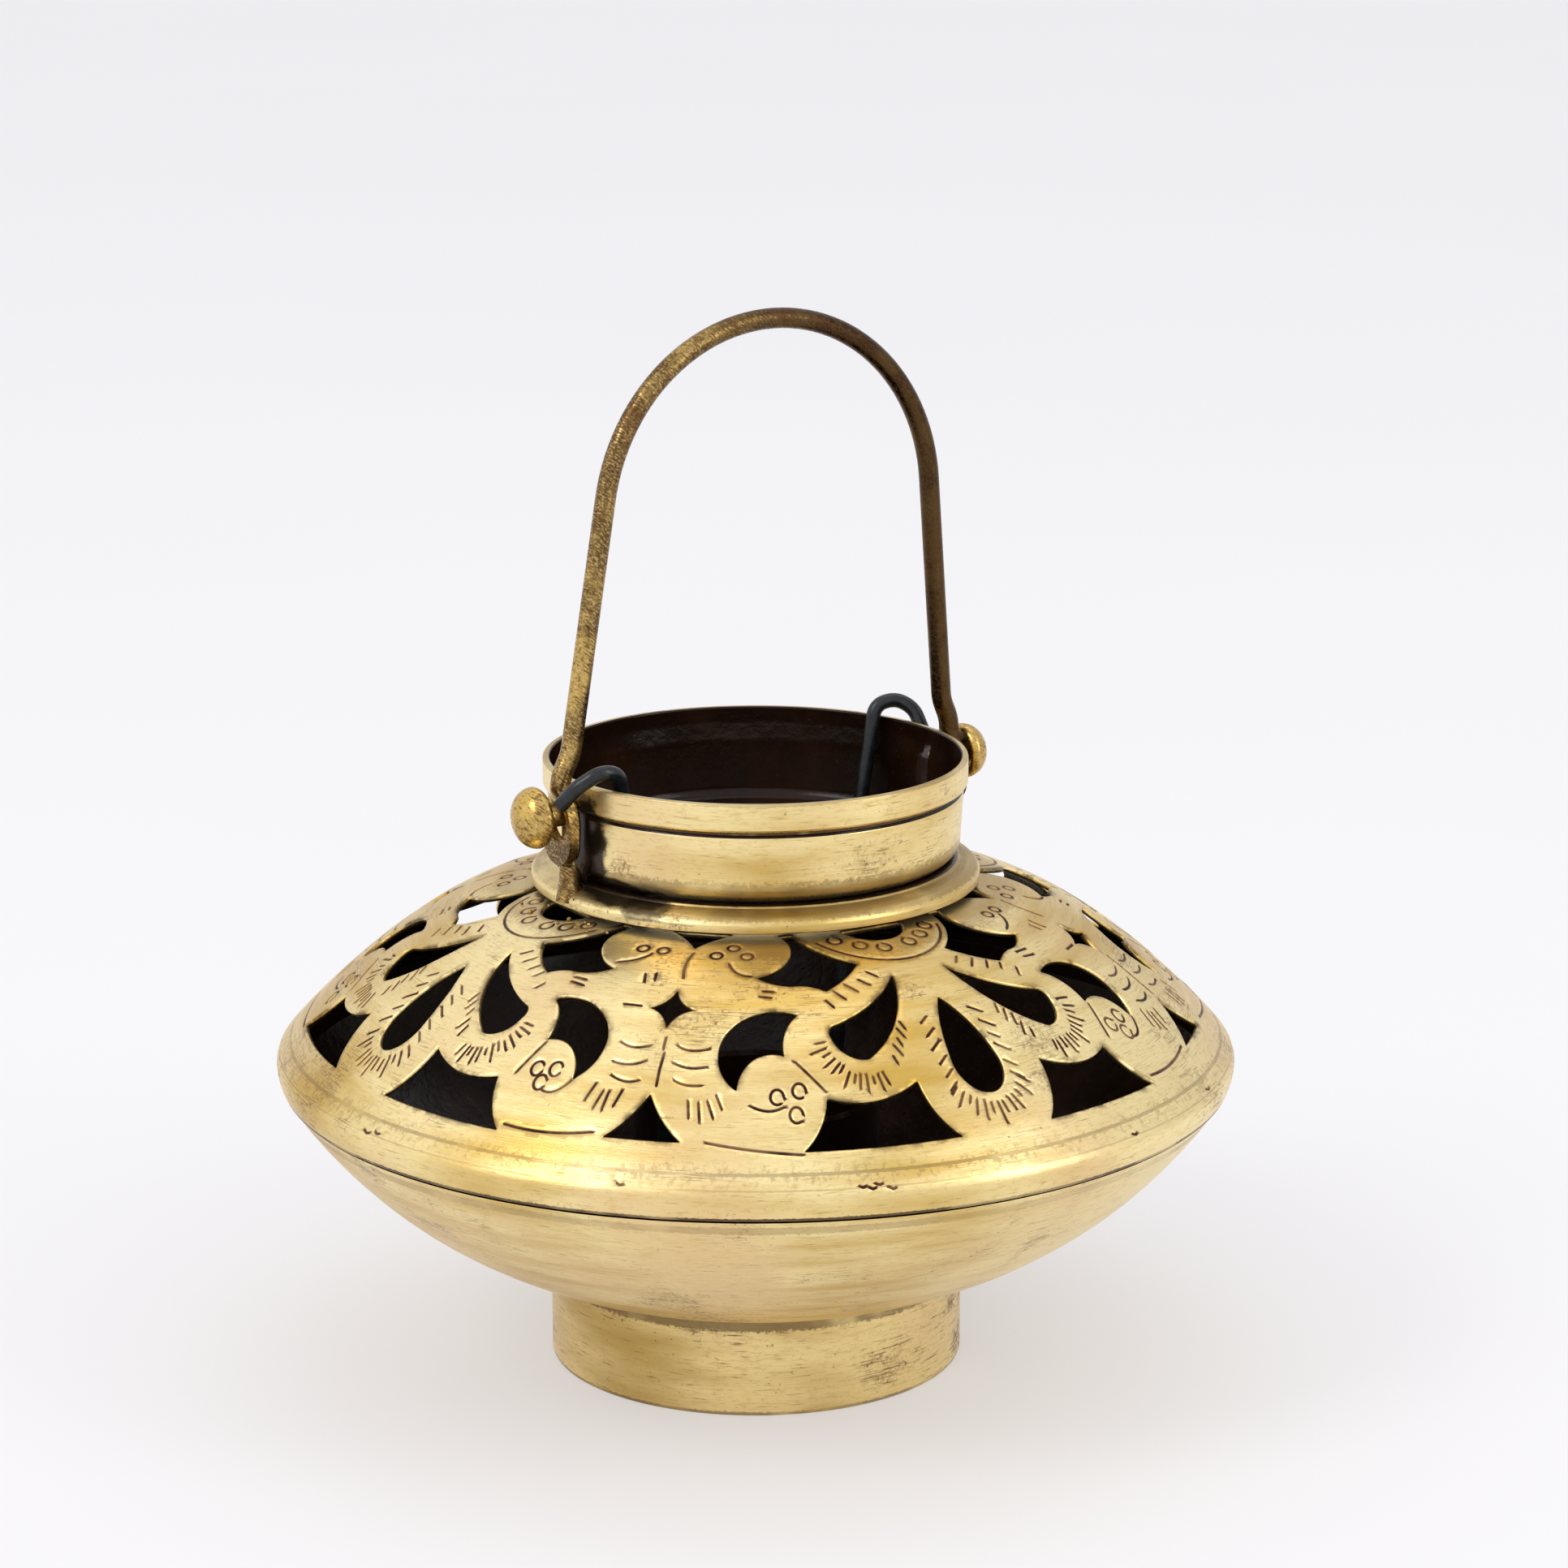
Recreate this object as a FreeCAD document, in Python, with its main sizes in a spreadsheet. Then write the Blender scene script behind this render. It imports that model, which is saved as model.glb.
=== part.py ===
"""Hanging brass lantern for a tea light, as a parametric FreeCAD document.

Frame: millimetres, +Z up, origin on the table at the centre of the foot ring.
The bail handle stands up in the XZ plane and its pivot pins lie along X.

Spun brass pieces (foot ring, bowl, pierced dome, flange, collar) are revolved,
the dome's openings are pocketed straight down and repeated four times round,
and the bail and the cup wires are rods swept along bent paths.
"""
import FreeCAD, Part
import Sketcher

import math
import os
import re

from FreeCAD import Placement, Rotation, Vector

AXIS_Z = Vector(0, 0, 1)

# Driving dimensions, millimetres unless the name says degrees.
DIMENSIONS = {
    "sheet_thickness": 1.1,
    # foot ring
    "foot_radius": 43.3,
    "foot_wall": 1.2,
    # lower bowl
    "bowl_floor_height": 16.6,
    "bowl_start_radius": 43.3,
    "bowl_start_height": 20.5,
    "bowl_curve_radius": 98.3,
    "bowl_edge_radius": 98.4,
    "bowl_edge_height": 60.7,
    "lap_height": 64.5,
    # pierced dome
    "belly_radius": 100,
    "belly_height": 65.6,
    "belly_lip_radius": 98.9,
    "belly_lip_height": 61.2,
    "belly_nose_radius": 4.3,
    "belly_under_radius": 9.5,
    "dome_low_radius": 98.6,
    "dome_low_height": 68.2,
    "dome_low_curve_radius": 137.5,
    "dome_break_radius": 71.7,
    "dome_break_height": 91.9,
    "dome_top_curve_radius": 62.7,
    "dome_hole_radius": 38.5,
    "dome_hole_height": 102.5,
    "motif_count": 4,
    "scroll_axis_degrees": 43.3,
    "fan_axis_degrees": -1.2,
    # neck flange
    "flange_radius": 46.6,
    "flange_edge_height": 103.1,
    "flange_edge_top": 104.7,
    "flange_roll_radius": 3.2,
    "flange_shoulder_radius": 44.5,
    "flange_shoulder_height": 106.4,
    "flange_bead_radius": 42.3,
    "flange_bead_height": 107.2,
    "flange_top_height": 107.5,
    # neck collar
    "neck_hole_radius": 37.4,
    "collar_foot_height": 107.7,
    "collar_corner_radius": 4,
    "collar_low_radius": 42.5,
    "collar_low_height": 111.7,
    "collar_high_radius": 43.1,
    "collar_groove_depth": 0.5,
    "collar_groove_height": 122.4,
    "band_height": 123.1,
    "band_radius": 44,
    "band_inner_radius": 42.5,
    "rim_height": 128.9,
    # pivots
    "pin_height": 122.5,
    "pin_radius": 2.5,
    "pin_start": 44.1,
    "pin_end": 53.4,
    "post_radius": 2.2,
    "post_reach": 44.7,
    "post_foot_height": 104.2,
    "post_flare_radius": 3,
    "post_flare_height": 4.5,
    "post_top_height": 122.9,
    "post_flat_reach": 45.3,
    "post_filing_size": 10,
    "post_flat_height": 111.6,
    "left_knob_radius": 6.3,
    "right_knob_radius": 5.8,
    "knob_start": 51.45,
    "knob_end": 57.4,
    "knob_edge": 1.5,
    "knob_bore_radius": 2.52,
    # bail handle
    "bail_rod_radius": 2.1,
    "bail_crown_radius": 39.7,
    "bail_crown_offset": 3.6,
    "bail_crown_centre_height": 179.2,
    "bail_left_leg": 44.3,
    "bail_right_leg": 46.8,
    "bail_leg_height": 134.5,
    "left_eye_reach": 46.8,
    "right_eye_reach": 48.8,
    "bail_rod_foot_height": 129.8,
    "bail_bend_radius": 9,
    "eye_radius": 5.4,
    "eye_hole_radius": 4,
    "eye_drop": 1.45,
    "eye_thickness": 2.2,
    "eye_length": 3.6,
    "eye_neck_half_width": 4.2,
    "eye_neck_height": 125.4,
    # candle cup
    "cup_radius": 26,
    "cup_wall": 0.9,
    "cup_rim_height": 57,
    "cup_floor_height": 29,
    "cup_corner_radius": 3,
    "cup_rim_roll": 1.1,
    # cup wires
    "wire_radius": 1.55,
    "wire_bend_radius": 18,
}

# Openings of one motif repeat, plan view: x across the motif's axis, y outwards
# from the lantern's axis.  Each outline goes corner, arc middle, corner, arc
# middle ... and closes on its first corner; None makes that side straight.

# on the axis of the double-scroll motif
SCROLL_OPENINGS = {
    "head_notch": [(-6.0, 43.2), (-2.3, 47.1), (0, 50.3), (2.3, 47.1), (6.0, 43.2), None],
    "diamond": [
        (0, 63.8), (1.75, 66.8), (4.9, 68.4), (1.75, 69.9),
        (0, 72.7), (-1.75, 69.9), (-4.9, 68.4), (-1.75, 66.8),
    ],
    "foot_triangle": [(-7.8, 92.2), (-3.3, 89.1), (0, 85.0), (3.3, 89.1), (7.8, 92.2), (0, 92.5)],
}
# beside the axis of the double-scroll motif, and mirrored to its other side
SCROLL_SIDE_OPENINGS = {
    "crescent": [
        (24.6, 64.9), (17.1, 66.7), (11.7, 72.8), (11.7, 77.9), (16.4, 82.3),
        (17.7, 76.9), (23.9, 74.0), (22.9, 69.5),
    ],
    "shoulder": [
        (32.2, 46.7), (23.9, 45.3), (17.2, 40.0), None, (14.9, 41.7), (19.1, 49.8),
        (14.3, 57.8), (18.5, 58.9), (23.0, 57.9), (25.7, 57.35), (28.3, 57.5), (31.1, 52.4),
    ],
}
# on the axis of the three-petal fan
FAN_OPENINGS = {
    "half_moon": [(-7.0, 43.6), (0, 49.9), (7.0, 43.6), None],
    "middle_petal": [(5.2, 81.0), (0, 87.6), (-5.2, 81.0), (-3.3, 74.2), (0, 68.3), (3.3, 74.2)],
}
# beside the axis of the fan, and mirrored to its other side
FAN_SIDE_OPENINGS = {
    "side_petal": [
        (6.1, 61.1), (11.8, 71.2), (21.0, 76.2), (24.7, 74.1), (25.9, 69.9),
        (25.4, 68.4), (23.8, 67.9), (14.8, 66.5),
    ],
    "band_opening": [
        (10.3, 93.0), (13.5, 88.4), (14.2, 82.6), (23.2, 83.2), (32.6, 79.1),
        (36.2, 82.6), (41.2, 84.3), (26.1, 90.0),
    ],
}

# Routes of the two cup wires: from the tip beside the bail's eye, over the rim,
# down the neck and along the wall of the cup.  The left tip lies between the eye
# and the knob, the right one between the eye and the neck.
WIRE_ROUTES = {
    "left": [
        Vector(-49.9, -5.2, 125.6),
        Vector(-48.0, -7.9, 129.5),
        Vector(-43.6, -10.6, 132.8),
        Vector(-39.0, -9.95, 131.8),
        Vector(-33.6, -8.6, 107.0),
        Vector(-26.65, -6.8, 58.0),
        Vector(-26.65, -6.8, 42.0),
    ],
    "right": [
        Vector(45.9, 5.5, 126.6),
        Vector(45.5, 8.3, 131.0),
        Vector(43.0, 11.6, 132.8),
        Vector(38.8, 13.1, 131.6),
        Vector(32.9, 11.0, 107.0),
        Vector(26.1, 8.66, 58.0),
        Vector(26.1, 8.66, 42.0),
    ],
}

doc = FreeCAD.newDocument("lantern")
sheet = doc.addObject("Spreadsheet::Sheet", "Sizes")
for row, (alias, size) in enumerate(DIMENSIONS.items(), start=1):
    sheet.set(f"A{row}", alias)
    sheet.set(f"B{row}", str(size))
    sheet.setAlias(f"B{row}", alias)
doc.recompute()


def bound(formula):
    """The formula with every dimension's name pointing into the sheet."""
    return re.sub(r"[a-z]+(?:_[a-z]+)+", lambda name: "Sizes." + name.group(), str(formula))


def value(formula):
    """The number that a formula of the sheet's dimensions comes to."""
    return float(sheet.evalExpression(bound(formula))) if isinstance(formula, str) else float(formula)


def new_body(label):
    body = doc.addObject("PartDesign::Body", label)
    body.Label = label
    return body


def origin_feature(body, role):
    return next(part for part in body.Origin.OriginFeatures if part.Role == role)


def new_sketch(body, name, role="XZ_Plane", offset=None):
    """A sketch on one of the body's own planes, moved along its normal by a formula."""
    sketch = body.newObject("Sketcher::SketchObject", name)
    sketch.AttachmentSupport = [(origin_feature(body, role), "")]
    sketch.MapMode = "FlatFace"
    if offset is not None:
        sketch.setExpression("AttachmentOffset.Base.z", bound(offset))
    return sketch


def pin_point(sketch, geometry, end, across, up):
    """Fix one end of a sketch edge by distances bound to the sheet."""
    for kind, formula, axis in (("DistanceX", across, -2), ("DistanceY", up, -1)):
        distance = value(formula)
        if abs(distance) < 1e-9:
            sketch.addConstraint(Sketcher.Constraint("PointOnObject", geometry, end, axis))
            continue
        index = sketch.addConstraint(
            Sketcher.Constraint(kind, -1, 1, geometry, end, distance)
        )
        if isinstance(formula, str):
            sketch.setExpression(f"Constraints[{index}]", bound(formula))


def bulge_point(start, end, radius):
    """Middle of the arc from start to end; a positive radius bulges to the left."""
    chord = end - start
    rise = abs(radius) - math.sqrt(radius * radius - chord.Length ** 2 / 4)
    left = Vector(-chord.y, chord.x, 0).normalize()
    return (start + end) / 2 + left * math.copysign(rise, radius)


def draw_profile(sketch, corners):
    """A closed outline of corners (across, up) or (across, up, arc radius, side).

    The arc runs on to the next corner and bulges to the left of the way there
    if its side is 1, to the right if it is -1.  It is drawn as the same arc in
    spline form, because many of the circles reach across the axis, and no torus
    can be made of such a circle.
    """
    places = [Vector(value(corner[0]), value(corner[1]), 0) for corner in corners]
    count = len(corners)
    for index, corner in enumerate(corners):
        start = places[index]
        end = places[(index + 1) % count]
        if len(corner) > 2:
            arc = Part.Arc(start, bulge_point(start, end, corner[3] * value(corner[2])), end)
            sketch.addGeometry(arc.toBSpline(), False)
        else:
            sketch.addGeometry(Part.LineSegment(start, end), False)
    # a three-point arc may run the other way, so its two ends are matched by place
    ends = []
    for index in range(count):
        edge = sketch.Geometry[index]
        starts_here = (edge.StartPoint - places[index]).Length < 1e-5
        ends.append((1, 2) if starts_here else (2, 1))
    for index, corner in enumerate(corners):
        pin_point(sketch, index, ends[index][0], corner[0], corner[1])
        after = (index + 1) % count
        sketch.addConstraint(
            Sketcher.Constraint("Coincident", index, ends[index][1], after, ends[after][0])
        )


def spun(label, corners, axis_role="Z_Axis"):
    """A Body turned about one of its own axes from a profile in its XZ plane."""
    body = new_body(label)
    sketch = new_sketch(body, label + "_profile")
    draw_profile(sketch, corners)
    turning = body.newObject("PartDesign::Revolution", label + "_turned")
    turning.Profile = sketch
    turning.ReferenceAxis = (origin_feature(body, axis_role), [""])
    turning.Angle = 360
    body.Tip = turning
    return body


def make_foot_ring():
    inner = "foot_radius - foot_wall"
    return spun("foot_ring", [
        ("foot_radius", 0.6),
        ("foot_radius", "bowl_start_height - 0.1"),
        (inner, "bowl_start_height - 0.4"),
        (inner, 0.6),
        ("foot_radius - foot_wall + 0.3", 0),
        ("foot_radius - 0.3", 0),
    ])


def make_lower_bowl():
    lap = "belly_lip_radius - sheet_thickness - 0.1"
    return spun("lower_bowl", [
        (0, "bowl_floor_height"),
        ("bowl_start_radius", "bowl_start_height", "bowl_curve_radius", -1),
        ("bowl_edge_radius", "bowl_edge_height"),
        (lap, "bowl_edge_height"),
        (lap, "lap_height"),
        ("belly_lip_radius - 2 * sheet_thickness - 0.1", "lap_height"),
        (
            "belly_lip_radius - 2 * sheet_thickness - 0.1", "bowl_edge_height + 0.2",
            "bowl_curve_radius - sheet_thickness", 1,
        ),
        ("bowl_start_radius", "bowl_start_height + sheet_thickness"),
        (0, "bowl_floor_height + sheet_thickness"),
    ])


def dome_sections():
    """Corners of the dome's wall: outer skin from hole to lip, then the inner skin."""
    return [
        ("dome_hole_radius", "dome_hole_height", "dome_top_curve_radius", 1),
        ("dome_break_radius", "dome_break_height", "dome_low_curve_radius", 1),
        ("dome_low_radius", "dome_low_height", "belly_nose_radius", 1),
        ("belly_radius", "belly_height", "belly_under_radius", 1),
        ("belly_lip_radius", "belly_lip_height"),
        ("belly_lip_radius - sheet_thickness", "belly_lip_height", "belly_under_radius", -1),
        (
            "belly_radius - sheet_thickness", "belly_height",
            "belly_nose_radius - sheet_thickness", -1,
        ),
        (
            "dome_low_radius - 0.73 * sheet_thickness", "dome_low_height - 0.68 * sheet_thickness",
            "dome_low_curve_radius - sheet_thickness", -1,
        ),
        (
            "dome_break_radius - 0.556 * sheet_thickness",
            "dome_break_height - 0.831 * sheet_thickness",
            "dome_top_curve_radius - sheet_thickness", -1,
        ),
        ("dome_hole_radius", "dome_hole_height - sheet_thickness"),
    ]


def turned(point, degrees, mirror):
    """A plan point of a motif, mirrored if asked, on the motif's axis at that angle."""
    across = -point[0] if mirror else point[0]
    angle = math.radians(degrees)
    outwards = Vector(math.cos(angle), math.sin(angle), 0)
    sideways = Vector(-math.sin(angle), math.cos(angle), 0)
    return outwards * point[1] + sideways * across


def add_outline(sketch, outline, degrees, mirror=False):
    """Draw one opening in a plan sketch as arcs and straight sides."""
    points = [None if point is None else turned(point, degrees, mirror) for point in outline]
    count = len(points)
    for index in range(0, count, 2):
        start = points[index]
        middle = points[index + 1]
        end = points[(index + 2) % count]
        if middle is None:
            edge = Part.LineSegment(start, end)
        else:
            edge = Part.Arc(start, middle, end)
        sketch.addGeometry(edge, False)


def pierce(body, name, openings, side_openings):
    """Pocket one motif's openings through the dome and repeat them round it."""
    degrees = value(name + "_axis_degrees")
    sketch = new_sketch(body, name + "_outlines", "XY_Plane")
    for outline in openings.values():
        add_outline(sketch, outline, degrees)
    for outline in side_openings.values():
        add_outline(sketch, outline, degrees)
        add_outline(sketch, outline, degrees, mirror=True)
    pocket = body.newObject("PartDesign::Pocket", name + "_openings")
    pocket.Profile = sketch
    pocket.Type = 0
    pocket.Reversed = True
    pocket.setExpression("Length", bound("dome_hole_height + sheet_thickness"))
    body.Tip = pocket
    doc.recompute()
    pattern = body.newObject("PartDesign::PolarPattern", name + "_repeats")
    pattern.Originals = [pocket]
    pattern.Axis = (origin_feature(body, "Z_Axis"), [""])
    pattern.Angle = 360
    pattern.setExpression("Occurrences", bound("motif_count"))
    body.Tip = pattern
    doc.recompute()


def make_pierced_dome():
    body = spun("pierced_dome", dome_sections())
    doc.recompute()
    pierce(body, "scroll", SCROLL_OPENINGS, SCROLL_SIDE_OPENINGS)
    pierce(body, "fan", FAN_OPENINGS, FAN_SIDE_OPENINGS)
    return body


def flange_skin():
    """Corners of the flange's upper side, from its neck out to its edge."""
    return [
        ("flange_bead_radius - 2", "flange_top_height", 1.3, 1),
        ("flange_bead_radius", "flange_bead_height"),
        ("flange_shoulder_radius", "flange_shoulder_height", "flange_roll_radius", 1),
        ("flange_radius", "flange_edge_top"),
    ]


def make_neck_flange():
    return spun("neck_flange", [
        ("flange_radius", "flange_edge_height"),
        ("flange_radius - 1.6", "flange_edge_height"),
        ("flange_shoulder_radius - 0.9", "flange_shoulder_height - 1.5"),
        ("flange_bead_radius - 0.6", "flange_bead_height - 1.2"),
        ("neck_hole_radius + 0.6", "flange_top_height - 1.2"),
        ("neck_hole_radius + 0.6", "flange_top_height"),
    ] + flange_skin())


def make_flange_core():
    """The flange filled in underneath, a tool that trims the posts' feet."""
    return spun("flange_core", [
        ("flange_radius", "post_foot_height - 1"),
        ("neck_hole_radius", "post_foot_height - 1"),
        ("neck_hole_radius", "flange_top_height"),
    ] + flange_skin())


def make_neck_collar():
    return spun("neck_collar", [
        ("neck_hole_radius", "collar_foot_height"),
        (
            "collar_low_radius - collar_corner_radius", "collar_foot_height",
            "collar_corner_radius", -1,
        ),
        ("collar_low_radius", "collar_low_height"),
        ("collar_high_radius", "collar_groove_height - 0.7"),
        ("collar_high_radius - collar_groove_depth", "collar_groove_height"),
        ("collar_high_radius - collar_groove_depth", "band_height - 0.2"),
        ("band_radius - 0.3", "band_height"),
        ("band_radius", "band_height + 0.5"),
        ("band_radius", "rim_height - 0.5", 0.5, -1),
        ("band_radius - 0.5", "rim_height"),
        ("band_inner_radius + 0.4", "rim_height", 0.4, -1),
        ("band_inner_radius", "rim_height - 0.4"),
        ("band_inner_radius", "band_height + 2"),
        ("collar_high_radius - sheet_thickness - 0.3", "band_height - 0.8"),
        (
            "collar_low_radius - sheet_thickness", "collar_low_height",
            "collar_corner_radius - sheet_thickness", 1,
        ),
        (
            "collar_low_radius - collar_corner_radius",
            "collar_low_height - collar_corner_radius + sheet_thickness",
        ),
        ("neck_hole_radius", "collar_foot_height + sheet_thickness"),
    ])


def side_placement(side, height="0"):
    """The piece as drawn on the +X side, or turned half round to the -X side."""
    half_turn = Rotation(AXIS_Z, 0 if side == "right" else 180)
    return Placement(Vector(0, 0, value(height)), half_turn)


def make_pivot_pin(side):
    pin = spun(side + "_pivot_pin", [
        ("pin_start", 0),
        ("pin_end", 0),
        ("pin_end", "pin_radius"),
        ("pin_start", "pin_radius"),
    ], "X_Axis")
    pin.Placement = side_placement(side, "pin_height")
    return pin


def make_pin_knob(side):
    knob_radius = side + "_knob_radius"
    knob = spun(side + "_pin_knob", [
        ("knob_start", "knob_bore_radius"),
        ("pin_end", "knob_bore_radius"),
        ("pin_end", 0),
        ("knob_end", 0, knob_radius, -1),
        ("knob_end - 1.1", knob_radius + " - 2.6", 4.2, -1),
        ("knob_start + knob_edge", knob_radius, 1.4, -1),
        ("knob_start", knob_radius + " - 1.1"),
    ], "X_Axis")
    knob.Placement = side_placement(side, "pin_height")
    return knob


def make_pivot_post(side, core, collar, pin):
    """An upright rod with a flared foot, fitted to the neck and notched for the pin."""
    reach = value("post_reach") * (1 if side == "right" else -1)
    rod = doc.addObject("Part::Cylinder", side + "_post_rod")
    rod.setExpression("Radius", bound("post_radius"))
    rod.setExpression("Height", bound("post_top_height - post_foot_height"))
    flare = doc.addObject("Part::Cone", side + "_post_flare")
    flare.setExpression("Radius1", bound("post_flare_radius"))
    flare.setExpression("Radius2", bound("post_radius"))
    flare.setExpression("Height", bound("post_flare_height"))
    for piece in (rod, flare):
        piece.Placement = Placement(Vector(reach, 0, value("post_foot_height")), Rotation())
    blank = doc.addObject("Part::Fuse", side + "_post_blank")
    blank.Base = rod
    blank.Tool = flare
    # the upper part is filed flat on its outer side, to let the bail's eye pass
    filing = doc.addObject("Part::Box", side + "_post_filing")
    filing.setExpression("Length", bound("post_filing_size"))
    filing.setExpression("Width", bound("post_filing_size"))
    filing.setExpression("Height", bound("post_top_height - post_flat_height + 1"))
    flat = value("post_flat_reach")
    size = value("post_filing_size")
    corner_x = flat if side == "right" else -flat - size
    filing.Placement = Placement(
        Vector(corner_x, -size / 2, value("post_flat_height")), Rotation()
    )
    for tool in (core, collar, pin, filing):
        cut = doc.addObject("Part::Cut", f"{side}_post_less_{tool.Label}")
        cut.Base = blank
        cut.Tool = tool
        blank = cut
    blank.Label = side + "_pivot_post"
    return blank


def tangent_point(foot, centre, radius, side):
    """Where a line from foot touches the circle, on the circle's left or right."""
    reach = centre - foot
    turn = math.asin(radius / reach.Length)
    run = math.sqrt(reach.Length ** 2 - radius ** 2)
    heading = math.atan2(reach.y, reach.x) - side * turn
    return foot + Vector(math.cos(heading), math.sin(heading), 0) * run


def corner_arc(before, corner, after, radius):
    """Start, middle and end of the arc that rounds a corner of a path."""
    back = (before - corner).normalize()
    onward = (after - corner).normalize()
    half = back.getAngle(onward) / 2
    setback = radius / math.tan(half)
    centre = corner + (back + onward).normalize() * (radius / math.sin(half))
    middle = centre + (corner - centre).normalize() * radius
    return corner + back * setback, middle, corner + onward * setback


def bail_path():
    """Edges of the bail's centreline in the XZ plane, from left foot to right foot."""
    foot = value("bail_rod_foot_height")
    leg = value("bail_leg_height")
    bend = value("bail_bend_radius")
    centre = Vector(value("bail_crown_offset"), value("bail_crown_centre_height"), 0)
    crown = value("bail_crown_radius")
    edges = []
    touches = {}
    feet = {}
    for name, side in (("left", -1), ("right", 1)):
        reach = value(name + "_eye_reach")
        knee = value(f"bail_{name}_leg")
        start = Vector(side * reach, foot - 6, 0)
        elbow = Vector(side * reach, foot, 0)
        knee_point = Vector(side * knee, leg, 0)
        touch = tangent_point(knee_point, centre, crown, side)
        low = corner_arc(start, elbow, knee_point, bend)
        high = corner_arc(elbow, knee_point, touch, bend)
        edges += [
            Part.Arc(*low),
            Part.LineSegment(low[2], high[0]),
            Part.Arc(*high),
            Part.LineSegment(high[2], touch),
        ]
        touches[side] = touch
        feet[name] = low[0]
    top = centre + Vector(0, crown, 0)
    edges.append(Part.Arc(touches[-1], top, touches[1]))
    return edges, feet


def make_bail_handle():
    """One round rod, bent to an arch, with both ends forged flat into eyes."""
    body = new_body("bail_handle")
    path = new_sketch(body, "bail_centreline", "XZ_Plane")
    edges, feet = bail_path()
    for edge in edges:
        path.addGeometry(edge, False)
    start = feet["right"]
    section = new_sketch(body, "bail_rod_section", "XY_Plane", str(start.y))
    section.addGeometry(
        Part.Circle(Vector(start.x, 0, 0), AXIS_Z, value("bail_rod_radius")), False
    )
    radius = section.addConstraint(
        Sketcher.Constraint("Radius", 0, value("bail_rod_radius"))
    )
    section.setExpression(f"Constraints[{radius}]", bound("bail_rod_radius"))
    doc.recompute()
    pipe = body.newObject("PartDesign::AdditivePipe", "bail_rod")
    pipe.Profile = section
    pipe.Spine = path
    body.Tip = pipe
    doc.recompute()
    for side, sign in (("left", -1), ("right", 1)):
        add_forged_eye(body, side, sign, feet[side].y)
    return body


def add_forged_eye(body, side, sign, rod_foot):
    """Taper the rod's end into a flat eye: a loft, a disc and the pin's hole."""
    reach = sign * value(side + "_eye_reach")
    round_end = new_sketch(body, side + "_eye_round_end", "XY_Plane", str(rod_foot))
    round_end.addGeometry(
        Part.Circle(Vector(reach, 0, 0), AXIS_Z, value("bail_rod_radius")), False
    )
    flat_end = new_sketch(body, side + "_eye_flat_end", "XY_Plane", "eye_neck_height")
    flat_end.addGeometry(
        Part.Ellipse(
            Vector(reach, value("eye_neck_half_width"), 0),
            Vector(reach + value("eye_thickness / 2"), 0, 0),
            Vector(reach, 0, 0),
        ),
        False,
    )
    doc.recompute()
    neck = body.newObject("PartDesign::AdditiveLoft", side + "_eye_neck")
    neck.Profile = round_end
    neck.Sections = [flat_end]
    neck.Ruled = True
    body.Tip = neck
    doc.recompute()
    inner_face = f"{sign} * {side}_eye_reach - eye_thickness / 2"
    disc = new_sketch(body, side + "_eye_disc", "YZ_Plane", inner_face)
    centre = Vector(0, value("pin_height - eye_drop"), 0)
    wide = Vector(value("eye_radius"), 0, 0)
    deep = Vector(0, value("eye_radius"), 0)
    low = centre - Vector(0, value("eye_length"), 0)
    disc.addGeometry(Part.Arc(centre + wide, centre + deep, centre - wide), False)
    disc.addGeometry(Part.LineSegment(centre - wide, low - wide), False)
    disc.addGeometry(Part.Arc(low - wide, low - deep, low + wide), False)
    disc.addGeometry(Part.LineSegment(low + wide, centre + wide), False)
    pad = body.newObject("PartDesign::Pad", side + "_eye")
    pad.Profile = disc
    pad.setExpression("Length", bound("eye_thickness"))
    body.Tip = pad
    doc.recompute()
    bore = new_sketch(body, side + "_eye_bore", "YZ_Plane", inner_face + " - 2")
    bore.addGeometry(Part.Circle(centre, AXIS_Z, value("eye_hole_radius")), False)
    size = bore.addConstraint(Sketcher.Constraint("Radius", 0, value("eye_hole_radius")))
    bore.setExpression(f"Constraints[{size}]", bound("eye_hole_radius"))
    hole = body.newObject("PartDesign::Pocket", side + "_eye_hole")
    hole.Profile = bore
    hole.Reversed = True
    hole.setExpression("Length", bound("eye_thickness + 4"))
    body.Tip = hole
    doc.recompute()


def make_candle_cup():
    inner = "cup_radius - cup_wall"
    return spun("candle_cup", [
        (0, "cup_floor_height"),
        ("cup_radius - cup_corner_radius", "cup_floor_height", "cup_corner_radius", -1),
        ("cup_radius", "cup_floor_height + cup_corner_radius"),
        ("cup_radius", "cup_rim_height - cup_rim_roll"),
        ("cup_radius - cup_wall / 2", "cup_rim_height"),
        (inner, "cup_rim_height - cup_rim_roll"),
        (
            inner, "cup_floor_height + cup_corner_radius",
            "cup_corner_radius - cup_wall", 1,
        ),
        ("cup_radius - cup_corner_radius", "cup_floor_height + cup_wall"),
        (0, "cup_floor_height + cup_wall"),
    ])


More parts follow.
